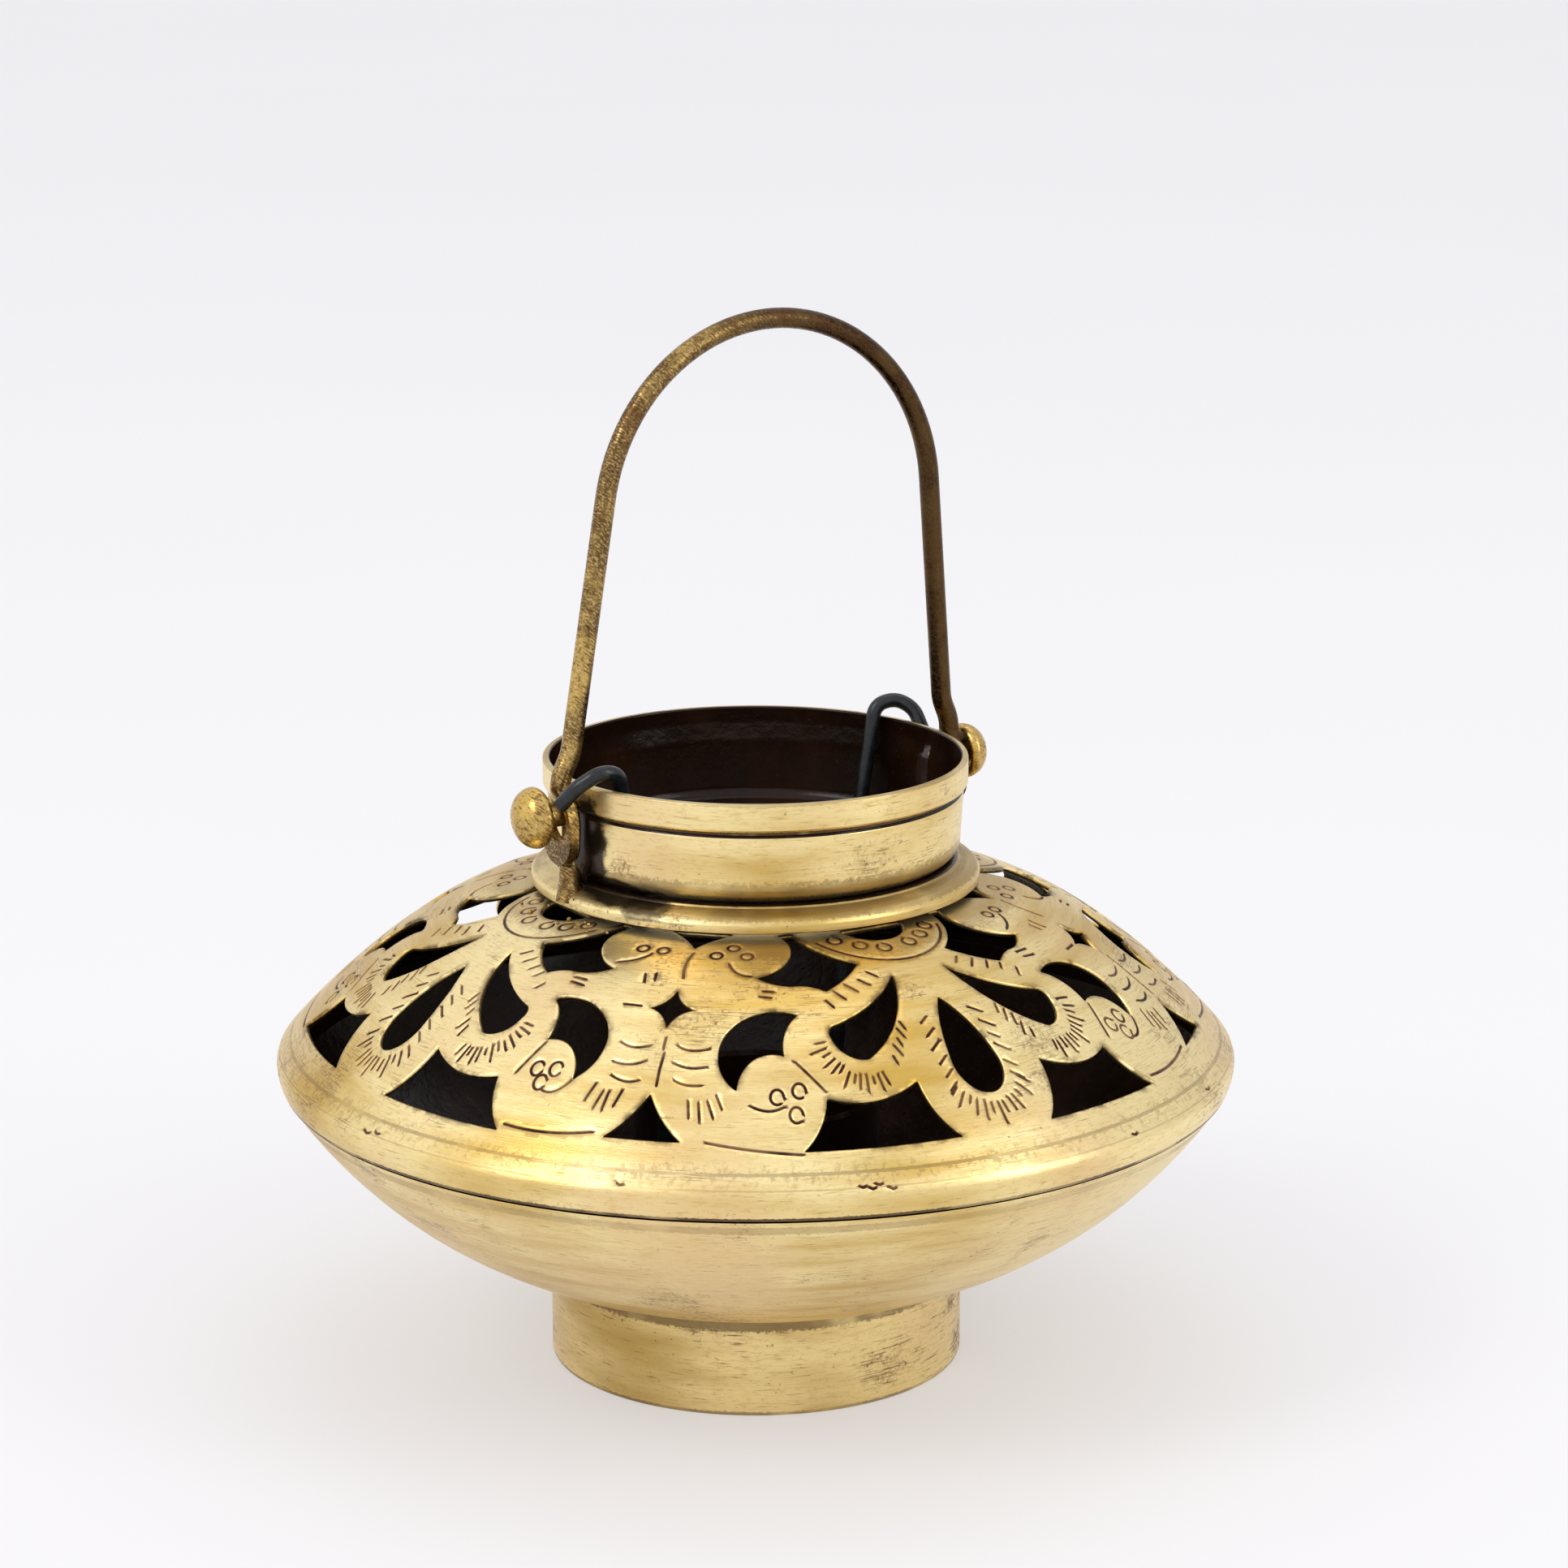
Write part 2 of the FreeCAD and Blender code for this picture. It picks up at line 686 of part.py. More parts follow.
def make_cup_wire(side):
    """A round wire bent in space: straight runs joined by arcs, swept with a circle."""
    radius = value("wire_radius")
    bend = value("wire_bend_radius")
    route = WIRE_ROUTES[side]
    edges = []
    place = route[0]
    for before, corner, after in zip(route, route[1:], route[2:]):
        # a short run takes a smaller bend
        room = min((corner - before).Length, (after - corner).Length) * 0.45
        half = (before - corner).getAngle(after - corner) / 2
        arc = corner_arc(before, corner, after, min(bend, room * math.tan(half)))
        edges.append(Part.LineSegment(place, arc[0]).toShape())
        edges.append(Part.Arc(*arc).toShape())
        place = arc[2]
    edges.append(Part.LineSegment(place, route[-1]).toShape())
    spine = Part.Wire(edges)
    section = Part.Wire(Part.makeCircle(radius, route[0], route[1] - route[0]))
    wire = doc.addObject("Part::Feature", side + "_cup_wire")
    wire.Shape = spine.makePipeShell([section], True, False)
    wire.Label = side + "_cup_wire"
    expected = math.pi * radius ** 2 * spine.Length
    print(f"{wire.Label}: volume {wire.Shape.Volume:.0f}, section times length {expected:.0f}")
    return wire


def build():
    """Every sub-part of the lantern, in the order it is put together."""
    collar = make_neck_collar()
    pieces = [make_foot_ring(), make_lower_bowl(), make_pierced_dome(), make_neck_flange(), collar]
    core = make_flange_core()
    doc.recompute()
    for side in ("left", "right"):
        pin = make_pivot_pin(side)
        doc.recompute()
        pieces += [make_pivot_post(side, core, collar, pin), pin, make_pin_knob(side)]
    pieces.append(make_bail_handle())
    pieces.append(make_candle_cup())
    pieces += [make_cup_wire("left"), make_cup_wire("right")]
    doc.recompute()
    return pieces


def check(pieces):
    """Stop if any object of the document failed or a piece isn't one sound solid."""
    for item in doc.Objects:
        faults = {"Invalid", "Error"} & set(item.State)
        if faults:
            raise SystemExit(f"{item.Label}: {faults}")
    for piece in pieces:
        shape = piece.Shape
        if shape.isNull() or not shape.isValid() or len(shape.Solids) != 1:
            raise SystemExit(f"{piece.Label}: {len(shape.Solids)} solids, valid {shape.isValid()}")


def write(pieces):
    os.makedirs("parts", exist_ok=True)
    for piece in pieces:
        piece.Shape.exportStep(f"parts/{piece.Label}.step")
        box = piece.Shape.optimalBoundingBox()
        print(f"{piece.Label}: {box.XLength:.1f} x {box.YLength:.1f} x {box.ZLength:.1f} mm")


all_pieces = build()
check(all_pieces)
write(all_pieces)
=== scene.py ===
# Looks of the hanging brass lantern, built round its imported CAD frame.
# The spun pieces are turned again from the frame's own sections, with rounded
# edges; the dome is cut again with the chased marks pressed into its skin.
# Lengths named *_MM and the plan points of the marks are in millimetres.
import math

import bmesh
import bpy
import numpy as np
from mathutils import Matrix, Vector, kdtree
from mathutils.geometry import delaunay_2d_cdt


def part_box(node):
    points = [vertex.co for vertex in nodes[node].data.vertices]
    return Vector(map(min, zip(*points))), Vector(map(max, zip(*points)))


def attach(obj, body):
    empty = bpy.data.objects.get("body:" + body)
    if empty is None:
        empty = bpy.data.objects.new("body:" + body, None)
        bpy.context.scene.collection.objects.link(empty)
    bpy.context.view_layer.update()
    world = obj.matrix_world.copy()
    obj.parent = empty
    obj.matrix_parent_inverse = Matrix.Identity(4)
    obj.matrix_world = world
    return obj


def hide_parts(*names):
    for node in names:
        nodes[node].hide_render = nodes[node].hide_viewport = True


MM = 0.001
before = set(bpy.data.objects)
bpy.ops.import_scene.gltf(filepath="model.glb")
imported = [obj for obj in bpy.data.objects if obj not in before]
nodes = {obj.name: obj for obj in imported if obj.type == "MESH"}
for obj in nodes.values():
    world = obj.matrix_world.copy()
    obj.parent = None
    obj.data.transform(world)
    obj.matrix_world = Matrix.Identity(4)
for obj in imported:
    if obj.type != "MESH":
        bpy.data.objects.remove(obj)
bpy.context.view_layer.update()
rng = np.random.default_rng(7)

# ---------------------------------------------------------------- materials


class Tree:
    """A short way to write one material's nodes."""

    def __init__(self, name):
        self.material = bpy.data.materials.new(name)
        self.material.use_nodes = True
        self.nodes = self.material.node_tree.nodes
        self.links = self.material.node_tree.links
        self.nodes.clear()
        self.shader = self.nodes.new("ShaderNodeBsdfPrincipled")
        output = self.nodes.new("ShaderNodeOutputMaterial")
        self.links.new(self.shader.outputs[0], output.inputs[0])
        place = self.nodes.new("ShaderNodeTexCoord").outputs["Object"]
        split = self.nodes.new("ShaderNodeSeparateXYZ")
        self.links.new(place, split.inputs[0])
        self.place = place
        self.x, self.y, self.z = split.outputs

    def put(self, value, socket):
        if isinstance(value, bpy.types.NodeSocket):
            self.links.new(value, socket)
        else:
            socket.default_value = value

    def math(self, operation, *values):
        node = self.nodes.new("ShaderNodeMath")
        node.operation = operation
        for value, socket in zip(values, node.inputs):
            self.put(value, socket)
        return node.outputs[0]

    def add(self, a, b):
        return self.math("ADD", a, b)

    def sub(self, a, b):
        return self.math("SUBTRACT", a, b)

    def mul(self, a, b):
        return self.math("MULTIPLY", a, b)

    def larger(self, a, b):
        return self.math("MAXIMUM", a, b)

    def vector(self, x, y, z):
        node = self.nodes.new("ShaderNodeCombineXYZ")
        for value, socket in zip((x, y, z), node.inputs):
            self.put(value, socket)
        return node.outputs[0]

    def stretched(self, across, along, height=None):
        """The place scaled by across in plan and by along up the height."""
        height = self.z if height is None else height
        return self.vector(self.mul(self.x, across), self.mul(self.y, across), self.mul(height, along))

    def noise(self, place, scale, detail=4, roughness=0.55):
        node = self.nodes.new("ShaderNodeTexNoise")
        self.put(place, node.inputs["Vector"])
        node.inputs["Scale"].default_value = scale
        node.inputs["Detail"].default_value = detail
        node.inputs["Roughness"].default_value = roughness
        return node.outputs[0]

    def ramp(self, value, low, high):
        """0 below low, 1 above high, smooth between."""
        node = self.nodes.new("ShaderNodeMapRange")
        node.interpolation_type = "SMOOTHSTEP"
        self.put(value, node.inputs["Value"])
        self.put(low, node.inputs["From Min"])
        self.put(high, node.inputs["From Max"])
        return node.outputs[0]

    def near(self, value, centre, reach):
        """1 where value is at centre, falling to 0 at reach on either side."""
        gap = self.math("ABSOLUTE", self.sub(value, centre))
        return self.ramp(gap, reach, 0.0)

    def mix(self, factor, first, second):
        node = self.nodes.new("ShaderNodeMix")
        node.data_type = "RGBA"
        self.put(factor, node.inputs[0])
        for colour, socket in ((first, node.inputs[6]), (second, node.inputs[7])):
            self.put(colour if isinstance(colour, bpy.types.NodeSocket) else (*colour, 1.0), socket)
        return node.outputs[2]

    def blot(self, centre_mm, reach_mm, ragged):
        """1 inside an ellipsoid, 0 outside, with its edge made uneven by a noise."""
        away = self.nodes.new("ShaderNodeVectorMath")
        away.operation = "SUBTRACT"
        self.put(self.place, away.inputs[0])
        away.inputs[1].default_value = [c * MM for c in centre_mm]
        scaled = self.nodes.new("ShaderNodeVectorMath")
        scaled.operation = "DIVIDE"
        self.put(away.outputs[0], scaled.inputs[0])
        scaled.inputs[1].default_value = [c * MM for c in reach_mm]
        length = self.nodes.new("ShaderNodeVectorMath")
        length.operation = "LENGTH"
        self.put(scaled.outputs[0], length.inputs[0])
        distance = self.add(length.outputs["Value"], self.mul(ragged, 1.1))
        return self.ramp(distance, 1.65, 1.35)

    def attribute(self, name):
        node = self.nodes.new("ShaderNodeAttribute")
        node.attribute_name = name
        return node.outputs["Fac"]

    def bump(self, height, distance, strength=1.0, below=None):
        node = self.nodes.new("ShaderNodeBump")
        node.inputs["Strength"].default_value = strength
        node.inputs["Distance"].default_value = distance
        self.put(height, node.inputs["Height"])
        if below is not None:
            self.put(below, node.inputs["Normal"])
        return node.outputs[0]


LIGHT_BRASS = (0.95, 0.785, 0.40)
DEEP_BRASS = (0.60, 0.385, 0.085)
ROD_LIGHT, ROD_DEEP = (0.52, 0.34, 0.10), (0.13, 0.070, 0.024)
WARM_BRASS = (0.78, 0.535, 0.27)
BROWN = (0.085, 0.040, 0.012)
RED_BROWN = (0.26, 0.080, 0.038)
# the colour of painted shade on the side away from the key light
PAINTED_SHADE_BROWN = (0.036, 0.015, 0.007)
GILT = (0.80, 0.60, 0.26)
BLACK_BROWN = (0.013, 0.006, 0.004)
CHATTER_REACH_MM = 3.2


def brass(
    name, slope=0.0, streaks=0.5, specks=0.5, stains=0.5, age=0.0, light=LIGHT_BRASS, deep=DEEP_BRASS,
    rings=(), blots=(), marks=False, rod=False, chatter=None, painted_shade_right=0.0,
):
    """Old brushed brass, its patina, and what else lies on it.

    slope: how the surface leans, so that the brush lines stay circles round it
    rod: the brush lines run slantwise, and the colour is mottled with gilt
    streaks, specks, stains, age: how much patina lies in lines, in pits, in
        clouds and all over
    rings: dark bands (height in mm, reach in mm, amount) where patina stays
    blots: glossy dark runs of lacquer (centre in mm, reach in mm, amount)
    marks: colours the chased marks and the edges of the openings
    chatter: the height in mm of a band of tool marks
    painted_shade_right: painted shade, darkening the half towards +X, away from the key light, by this
    amount
    """
    t = Tree(name)
    if rod:
        slant = t.add(t.z, t.mul(t.x, 0.8))
        lines = t.stretched(700, 2600, slant)
        broad = t.stretched(130, 50)
    else:
        radius = t.math("SQRT", t.add(t.mul(t.x, t.x), t.mul(t.y, t.y)))
        along = t.add(t.z, t.mul(radius, slope))
        lines = t.stretched(170, 3000, along)
        broad = t.stretched(30, 160, along)
    fine = t.noise(lines, 1.0, 4, 0.6)
    wide = t.noise(broad, 1.0, 3, 0.5)
    cloud = t.noise(t.place, 38, 5, 0.6)
    large = t.noise(t.place, 14, 2, 0.5)
    flecks = t.noise(t.place, 1100, 4, 0.7)

    mood = t.add(t.mul(large, 0.7), t.mul(wide, 0.3))
    colour = t.mix(t.ramp(mood, 0.34, 0.58), deep, light)
    colour = t.mix(t.mul(t.ramp(fine, 0.46, 0.68), 0.22), colour, deep)
    if rod:
        colour = t.mix(t.ramp(t.noise(t.place, 75, 4, 0.6), 0.42, 0.58), colour, deep)
        mottle = t.ramp(t.noise(t.stretched(1500, 2300, slant), 1.0, 4, 0.65), 0.47, 0.60)
        colour = t.mix(t.mul(mottle, 0.5), colour, GILT)
    else:
        warm = t.ramp(t.noise(t.place, 24, 3, 0.5), 0.50, 0.70)
        colour = t.mix(t.mul(warm, 0.5), colour, WARM_BRASS)
        grain = t.ramp(t.noise(t.stretched(420, 1500, along), 1.0, 4, 0.7), 0.50, 0.66)
        colour = t.mix(t.mul(grain, 0.34), colour, deep)

    # painted shade: the half towards +X, away from the key light, is darkened in the colour
    if painted_shade_right:
        uneven_x = t.add(t.x, t.mul(t.sub(cloud, 0.5), 60 * MM))
        side = t.ramp(uneven_x, -40 * MM, 25 * MM)
        colour = t.mix(t.mul(side, painted_shade_right), colour, PAINTED_SHADE_BROWN)

    # patina left in the brush lines and pits, thicker in clouds
    clouded = t.add(t.mul(cloud, 0.7), t.mul(wide, 0.3))
    stained = t.add(t.ramp(clouded, 0.48, 0.64), age)
    lined = t.ramp(t.add(fine, t.mul(stained, 0.12)), 0.62, 0.74)
    speck = t.ramp(t.add(flecks, t.mul(stained, 0.10)), 0.64, 0.74)
    smudge = t.mul(t.ramp(clouded, 0.54, 0.68), t.ramp(flecks, 0.40, 0.62))
    patina = t.larger(t.mul(lined, streaks), t.mul(speck, specks))
    patina = t.larger(patina, t.mul(smudge, stains))
    breaks = t.ramp(t.noise(t.place, 45, 3, 0.6), 0.36, 0.50)
    for height, reach, amount in rings:
        band = t.mul(t.near(t.z, height * MM, reach * MM), 1.3)
        rough = t.mul(t.sub(flecks, 0.5), 1.6)
        ragged = t.ramp(t.add(band, rough), 0.45, 0.80)
        ragged = t.mul(ragged, t.add(0.45, t.mul(breaks, 0.55)))
        patina = t.larger(patina, t.mul(ragged, amount))
    if chatter is not None:
        ticks = t.noise(t.stretched(900, 120), 1.0, 3, 0.6)
        band = t.near(t.z, chatter * MM, CHATTER_REACH_MM * MM)
        ticks = t.ramp(t.add(ticks, t.mul(stained, 0.08)), 0.50, 0.66)
        patina = t.larger(patina, t.mul(t.mul(ticks, band), 0.36))
    colour = t.mix(t.mul(smudge, stains * 0.7), colour, RED_BROWN)
    colour = t.mix(patina, colour, BROWN)
    dark = patina
    if marks:
        pressed = t.attribute("pressed")
        edge = t.attribute("edge")
        patchy = t.ramp(t.noise(t.place, 120, 3, 0.6), 0.38, 0.62)
        halo = t.ramp(pressed, 0.0, 0.28)
        colour = t.mix(t.mul(halo, t.add(0.62, t.mul(patchy, 0.3))), colour, RED_BROWN)
        core = t.mul(t.ramp(pressed, 0.18, 0.6), t.add(0.62, t.mul(patchy, 0.38)))
        colour = t.mix(core, colour, BLACK_BROWN)
        rim = t.mul(edge, t.ramp(t.noise(t.place, 170, 4, 0.6), 0.47, 0.60))
        colour = t.mix(t.mul(rim, 0.85), colour, BROWN)
        dark = t.larger(dark, core)
    gloss = t.add(0.19 if rod else 0.24, t.mul(fine, 0.18))
    gloss = t.add(gloss, t.mul(dark, 0.16))
    for centre, reach, amount in blots:
        run = t.mul(t.blot(centre, reach, t.noise(t.place, 190, 4, 0.6)), amount)
        colour = t.mix(run, colour, BLACK_BROWN)
        dark = t.larger(dark, run)
        gloss = t.sub(gloss, t.mul(run, 0.14))
    t.put(colour, t.shader.inputs["Base Color"])
    dulled = t.mul(dark, 0.18 if rod else 0.3)
    t.put(t.sub(1.0, dulled), t.shader.inputs["Metallic"])
    t.put(gloss, t.shader.inputs["Roughness"])
    brushed = t.bump(fine, 0.00008, 0.5)
    worn = t.sub(t.noise(t.place, 210, 4, 0.6), t.mul(dark, 0.35))
    t.put(t.bump(worn, 0.00016, 0.5, brushed), t.shader.inputs["Normal"])
    return t.material


def lacquer(name, colour, gloss=0.24, level=0.35):
    """The dark brown lacquered inside, glossy and slightly streaked."""
    t = Tree(name)
    cloud = t.noise(t.place, 60, 5, 0.6)
    specks = t.ramp(t.noise(t.place, 700, 5, 0.75), 0.62, 0.74)
    tint = t.mix(t.ramp(cloud, 0.4, 0.7), colour, tuple(c * 2.2 for c in colour))
    tint = t.mix(t.mul(specks, 0.22), tint, (0.16, 0.09, 0.04))
    t.put(tint, t.shader.inputs["Base Color"])
    t.shader.inputs["Metallic"].default_value = 0.0
    t.shader.inputs["Specular IOR Level"].default_value = level
    t.put(t.add(gloss, t.mul(cloud, 0.22)), t.shader.inputs["Roughness"])
    t.put(t.bump(t.noise(t.place, 230, 5, 0.65), 0.0003, 0.5), t.shader.inputs["Normal"])
    return t.material


def wire_paint(name):
    t = Tree(name)
    cloud = t.noise(t.place, 240, 5, 0.65)
    fine = t.noise(t.place, 1800, 4, 0.7)
    tint = t.mix(t.ramp(cloud, 0.35, 0.7), (0.007, 0.008, 0.009), (0.020, 0.022, 0.024))
    tint = t.mix(t.mul(t.ramp(fine, 0.64, 0.74), 0.4), tint, (0.10, 0.10, 0.10))
    t.put(tint, t.shader.inputs["Base Color"])
    t.shader.inputs["Metallic"].default_value = 0.2
    t.put(t.add(0.17, t.mul(cloud, 0.22)), t.shader.inputs["Roughness"])
    t.put(t.bump(cloud, 0.0002, 0.5), t.shader.inputs["Normal"])
    return t.material


inside = lacquer("inside_lacquer", (0.0095, 0.0036, 0.0013), 0.08, 0.20)
braze = lacquer("braze_lacquer", (0.016, 0.008, 0.005), 0.10, 0.6)
wire_finish = wire_paint("blackened_wire")

# ------------------------------------------------------------- turned pieces
ROUND_STEPS = 360
# bends below the first angle are straight runs, above the second they are corners
STRAIGHT_DEGREES, CORNER_DEGREES = 0.15, 24
EDGE_ROUNDING = 0.22 * MM
SAME_PLACE = 0.02 * MM


def clean_mesh(node):
    mesh = bmesh.new()
    mesh.from_mesh(nodes[node].data)
    bmesh.ops.remove_doubles(mesh, verts=mesh.verts, dist=1e-6)
    return mesh


def chained(edges):
    """Edges as lists of points, each going once round its loop."""
    neighbours = {}
    for a, b in edges:
        neighbours.setdefault(a, []).append(b)
        neighbours.setdefault(b, []).append(a)
    left = set(neighbours)
    loops = []
    while left:
        ends = [p for p in left if len(neighbours[p]) == 1]
        start = min(ends or left)
        loop = [start]
        left.discard(start)
        while True:
            onward = [p for p in neighbours[loop[-1]] if p in left]
            if not onward:
                break
            loop.append(onward[0])
            left.discard(onward[0])
        loops.append(loop)
    return loops


def section(node):
    """The closed outline (radius, height) of a turned node, cut by the XZ plane."""
    mesh = clean_mesh(node)
    geometry = mesh.verts[:] + mesh.edges[:] + mesh.faces[:]
    bmesh.ops.bisect_plane(
        mesh, geom=geometry, dist=1e-8, plane_co=(0, 2e-6, 0), plane_no=(0, 1, 0),
        clear_inner=True, clear_outer=True,
    )
    bmesh.ops.remove_doubles(mesh, verts=mesh.verts, dist=2e-6)
    points = [(v.co.x, v.co.z) for v in mesh.verts]
    mesh.verts.index_update()
    edges = [(e.verts[0].index, e.verts[1].index) for e in mesh.edges]
    loops = chained(edges)
    mesh.free()
    loop = max(loops, key=lambda l: sum(points[i][0] for i in l))
    return np.array([points[i] for i in loop])


def turn_of(before, here, after):
    a, b = here - before, after - here
    angle = math.atan2(a[0] * b[1] - a[1] * b[0], a @ b)
    return abs(math.degrees(angle))


def eased(points, closed=True):
    """The outline with its bends drawn as curves and its corners rounded."""
    keep = [points[0]]
    for p in points[1:]:
        if np.linalg.norm(p - keep[-1]) > SAME_PLACE:
            keep.append(p)
    if closed and np.linalg.norm(keep[0] - keep[-1]) < SAME_PLACE:
        keep.pop()
    # drop points in the middle of straight runs
    count = len(keep)
    turns = [turn_of(keep[i - 1], keep[i], keep[(i + 1) % count]) for i in range(count)]
    ends = () if closed else (0, count - 1)
    keep = [p for i, p in enumerate(keep) if turns[i] > STRAIGHT_DEGREES or i in ends]
    count = len(keep)
    out = []
    for i in range(count):
        here, after = keep[i], keep[(i + 1) % count]
        if not closed and i in (0, count - 1):
            out.append(here)
            continue
        before = keep[i - 1]
        if turn_of(before, here, after) > CORNER_DEGREES:
            a, b = before - here, after - here
            la, lb = np.linalg.norm(a), np.linalg.norm(b)
            cut = min(EDGE_ROUNDING, 0.3 * la, 0.3 * lb)
            start, end = here + a / la * cut, here + b / lb * cut
            for s in np.linspace(0, 1, 5):
                out.append((1 - s) ** 2 * start + 2 * s * (1 - s) * here + s * s * end)
        else:
            out.append(here)
    return np.array(out)


def new_object(name, verts, faces, materials, indices=None):
    mesh = bpy.data.meshes.new(name)
    mesh.from_pydata([tuple(v) for v in verts], [], [tuple(f) for f in faces])
    mesh.update()
    for material in materials:
        mesh.materials.append(material)
    if indices is not None:
        mesh.polygons.foreach_set("material_index", np.asarray(indices, np.int32))
    mesh.polygons.foreach_set("use_smooth", [True] * len(mesh.polygons))
    thing = bpy.data.objects.new(name, mesh)
    bpy.context.scene.collection.objects.link(thing)
    return thing


def resampled(points, step, closed=True):
    """Extra points along the longer runs, so that the skin can be dented."""
    out = []
    count = len(points)
    for i in range(count if closed else count - 1):
        a, b = points[i], points[(i + 1) % count]
        parts = max(1, int(np.linalg.norm(b - a) / step))
        out += [a + (b - a) * k / parts for k in range(parts)]
    if not closed:
        out.append(points[-1])
    return np.array(out)


def uneven(angle, height, size, seed):
    """Slow hand-made unevenness, the same on each run."""
    wave = np.zeros_like(angle)
    local = np.random.default_rng(seed)
    for turns_round in (2, 3, 5, 8, 13, 21):
        phase, tilt = local.uniform(0, math.tau), local.uniform(-220, 220)
        wave += np.sin(turns_round * angle + phase + tilt * height) / turns_round ** 0.6
    return wave * size / 2


def lathe(node, materials, hidden, wobble=0.04 * MM, seed=1, step=1.6 * MM):
    """A finely turned copy of a spun node.  hidden tells from a face's radius,
    height and outward and upward lean whether it is lacquered inside."""
    outline = section(node)
    across = outline[:, 0] > 1e-6
    closed = bool((outline[:, 0] > -1e-6).all())
    if not closed:
        # the node crosses the axis, so only its right half is turned
        start = next(i for i in range(len(outline)) if not across[i - 1] and across[i])
        outline = np.roll(outline, -start, axis=0)[: int(across.sum())]
        outline = np.vstack([[0, outline[0, 1]], outline, [0, outline[-1, 1]]])
    outline = resampled(eased(outline, closed), step, closed)
    count = len(outline)
    angles = np.arange(ROUND_STEPS) * math.tau / ROUND_STEPS
    theta, row = np.meshgrid(angles, np.arange(count))
    radius, height = outline[row, 0], outline[row, 1]
    settled = np.clip(radius / (6 * MM), 0, 1)
    radius = radius + (uneven(theta, height, wobble, seed) - wobble) * settled
    verts = np.stack([radius * np.cos(theta), radius * np.sin(theta), height], -1).reshape(-1, 3)
    faces = []
    for i in range(count if closed else count - 1):
        j = (i + 1) % count
        for k in range(ROUND_STEPS):
            m = (k + 1) % ROUND_STEPS
            here, there = i * ROUND_STEPS, j * ROUND_STEPS
            faces.append((here + k, here + m, there + m, there + k))
    piece = new_object(node + "_skin", verts, faces, materials)
    tidy = bmesh.new()
    tidy.from_mesh(piece.data)
    bmesh.ops.remove_doubles(tidy, verts=tidy.verts, dist=1e-7)
    bmesh.ops.recalc_face_normals(tidy, faces=tidy.faces)
    for face in tidy.faces:
        middle = face.calc_center_median()
        spread = math.hypot(middle.x, middle.y)
        outward = (face.normal.x * middle.x + face.normal.y * middle.y) / spread
        face.material_index = int(hidden(spread / MM, middle.z / MM, outward, face.normal.z))
    tidy.to_mesh(piece.data)
    tidy.free()
    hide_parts(node)
    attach(piece, "lantern")
    return piece


def bounds_mm(node):
    low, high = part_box(node)
    return np.array(low) / MM, np.array(high) / MM


collar_high = bounds_mm("neck_collar")[1]
flange_high = bounds_mm("neck_flange")[1]
bowl_high = bounds_mm("lower_bowl")[1]
dome_low, dome_high = bounds_mm("pierced_dome")
foot_high = bounds_mm("foot_ring")[1]
rim_mm = collar_high[2]
crease_mm = flange_high[2]
seam_mm = dome_low[2]
GROOVE_BELOW_RIM_MM = 6.3
NECK_INSIDE_MM = 42.0

post_low, post_high = bounds_mm("left_pivot_post")
post_x = (post_low[0] + post_high[0]) / 2

lathe(
    "neck_collar",
    [brass("collar_brass", 0, 0.6, 0.65, 0.6,
           rings=((rim_mm - GROOVE_BELOW_RIM_MM, 1.1, 0.97), (crease_mm + 0.2, 2.2, 0.85),
                  (crease_mm + 1.5, 5.5, 0.45), (rim_mm, 0.9, 0.4)),
           blots=(((post_x, -4.0, rim_mm - 13), (7, 6.5, 12), 0.97),
                  ((post_x + 4, -9.0, crease_mm + 0.5), (9, 13, 2.2), 0.9))), inside],
    lambda radius, height, out, up: out < -0.2 or (up > 0.5 and height < rim_mm - 3),
    seed=3,
)
lathe(
    "neck_flange",
    [brass("flange_brass", -1, 0.5, 0.7, 0.6,
           rings=((crease_mm + 0.1, 0.8, 0.95), (crease_mm - 1.0, 0.5, 0.6), (crease_mm - 1.2, 2.4, 0.5)),
           blots=(((post_x + 4, -11.0, crease_mm), (9, 16, 2.0), 0.9),
                  ((post_x + 9, -20.0, crease_mm - 2), (9, 6, 2.4), 0.75))), inside],
    lambda radius, height, out, up: up < -0.2 or radius < NECK_INSIDE_MM,
    seed=4, step=0.5 * MM,
)
lathe(
    "lower_bowl",
    [brass("bowl_brass", 1, 0.6, 0.65, 0.55,
           rings=((seam_mm, 0.8, 1.0), (seam_mm - 2.6, 1.8, 0.30),
                  (foot_high[2] + 0.6, 1.3, 0.5))), inside],
    lambda radius, height, out, up: up > 0.05 or height > bowl_high[2] - 3.6,
    wobble=0.10 * MM, seed=5,
)
lathe(
    "foot_ring",
    [brass("foot_brass", 0, 0.75, 0.8, 0.85, 0.1, (0.86, 0.67, 0.31), (0.47, 0.31, 0.09),
           rings=((foot_high[2] - 0.6, 3.2, 0.7), (0.2, 1.2, 0.6))), inside],
    lambda radius, height, out, up: out < -0.2 or height > foot_high[2] - 0.8,
    seed=6,
)

# --------------------------------------------------------------- pierced dome
# The dome's outer skin: where each arc starts and its radius, from hole to lip
DOME_SKIN = [
    ((38.5, dome_high[2]), 62.7), ((71.7, 91.9), 137.5), ((98.6, 68.2), 4.3),
    ((dome_high[0], 65.6), 9.5), ((98.9, dome_low[2]), None),
]
SHEET = 1.1
# how often each motif is repeated, and where its first axis points
MOTIFS = 4
SCROLL_AXIS = math.radians(43.3)
FAN_AXIS = math.radians(-1.2)
# the spacing of the skin's points, the chased groove, and the rounded cut edge
GRID = 1.0
GROOVE_DEPTH, GROOVE_HALF_WIDTH = 0.34, 0.42
EDGE_DROP, EDGE_REACH = 0.16, 0.34


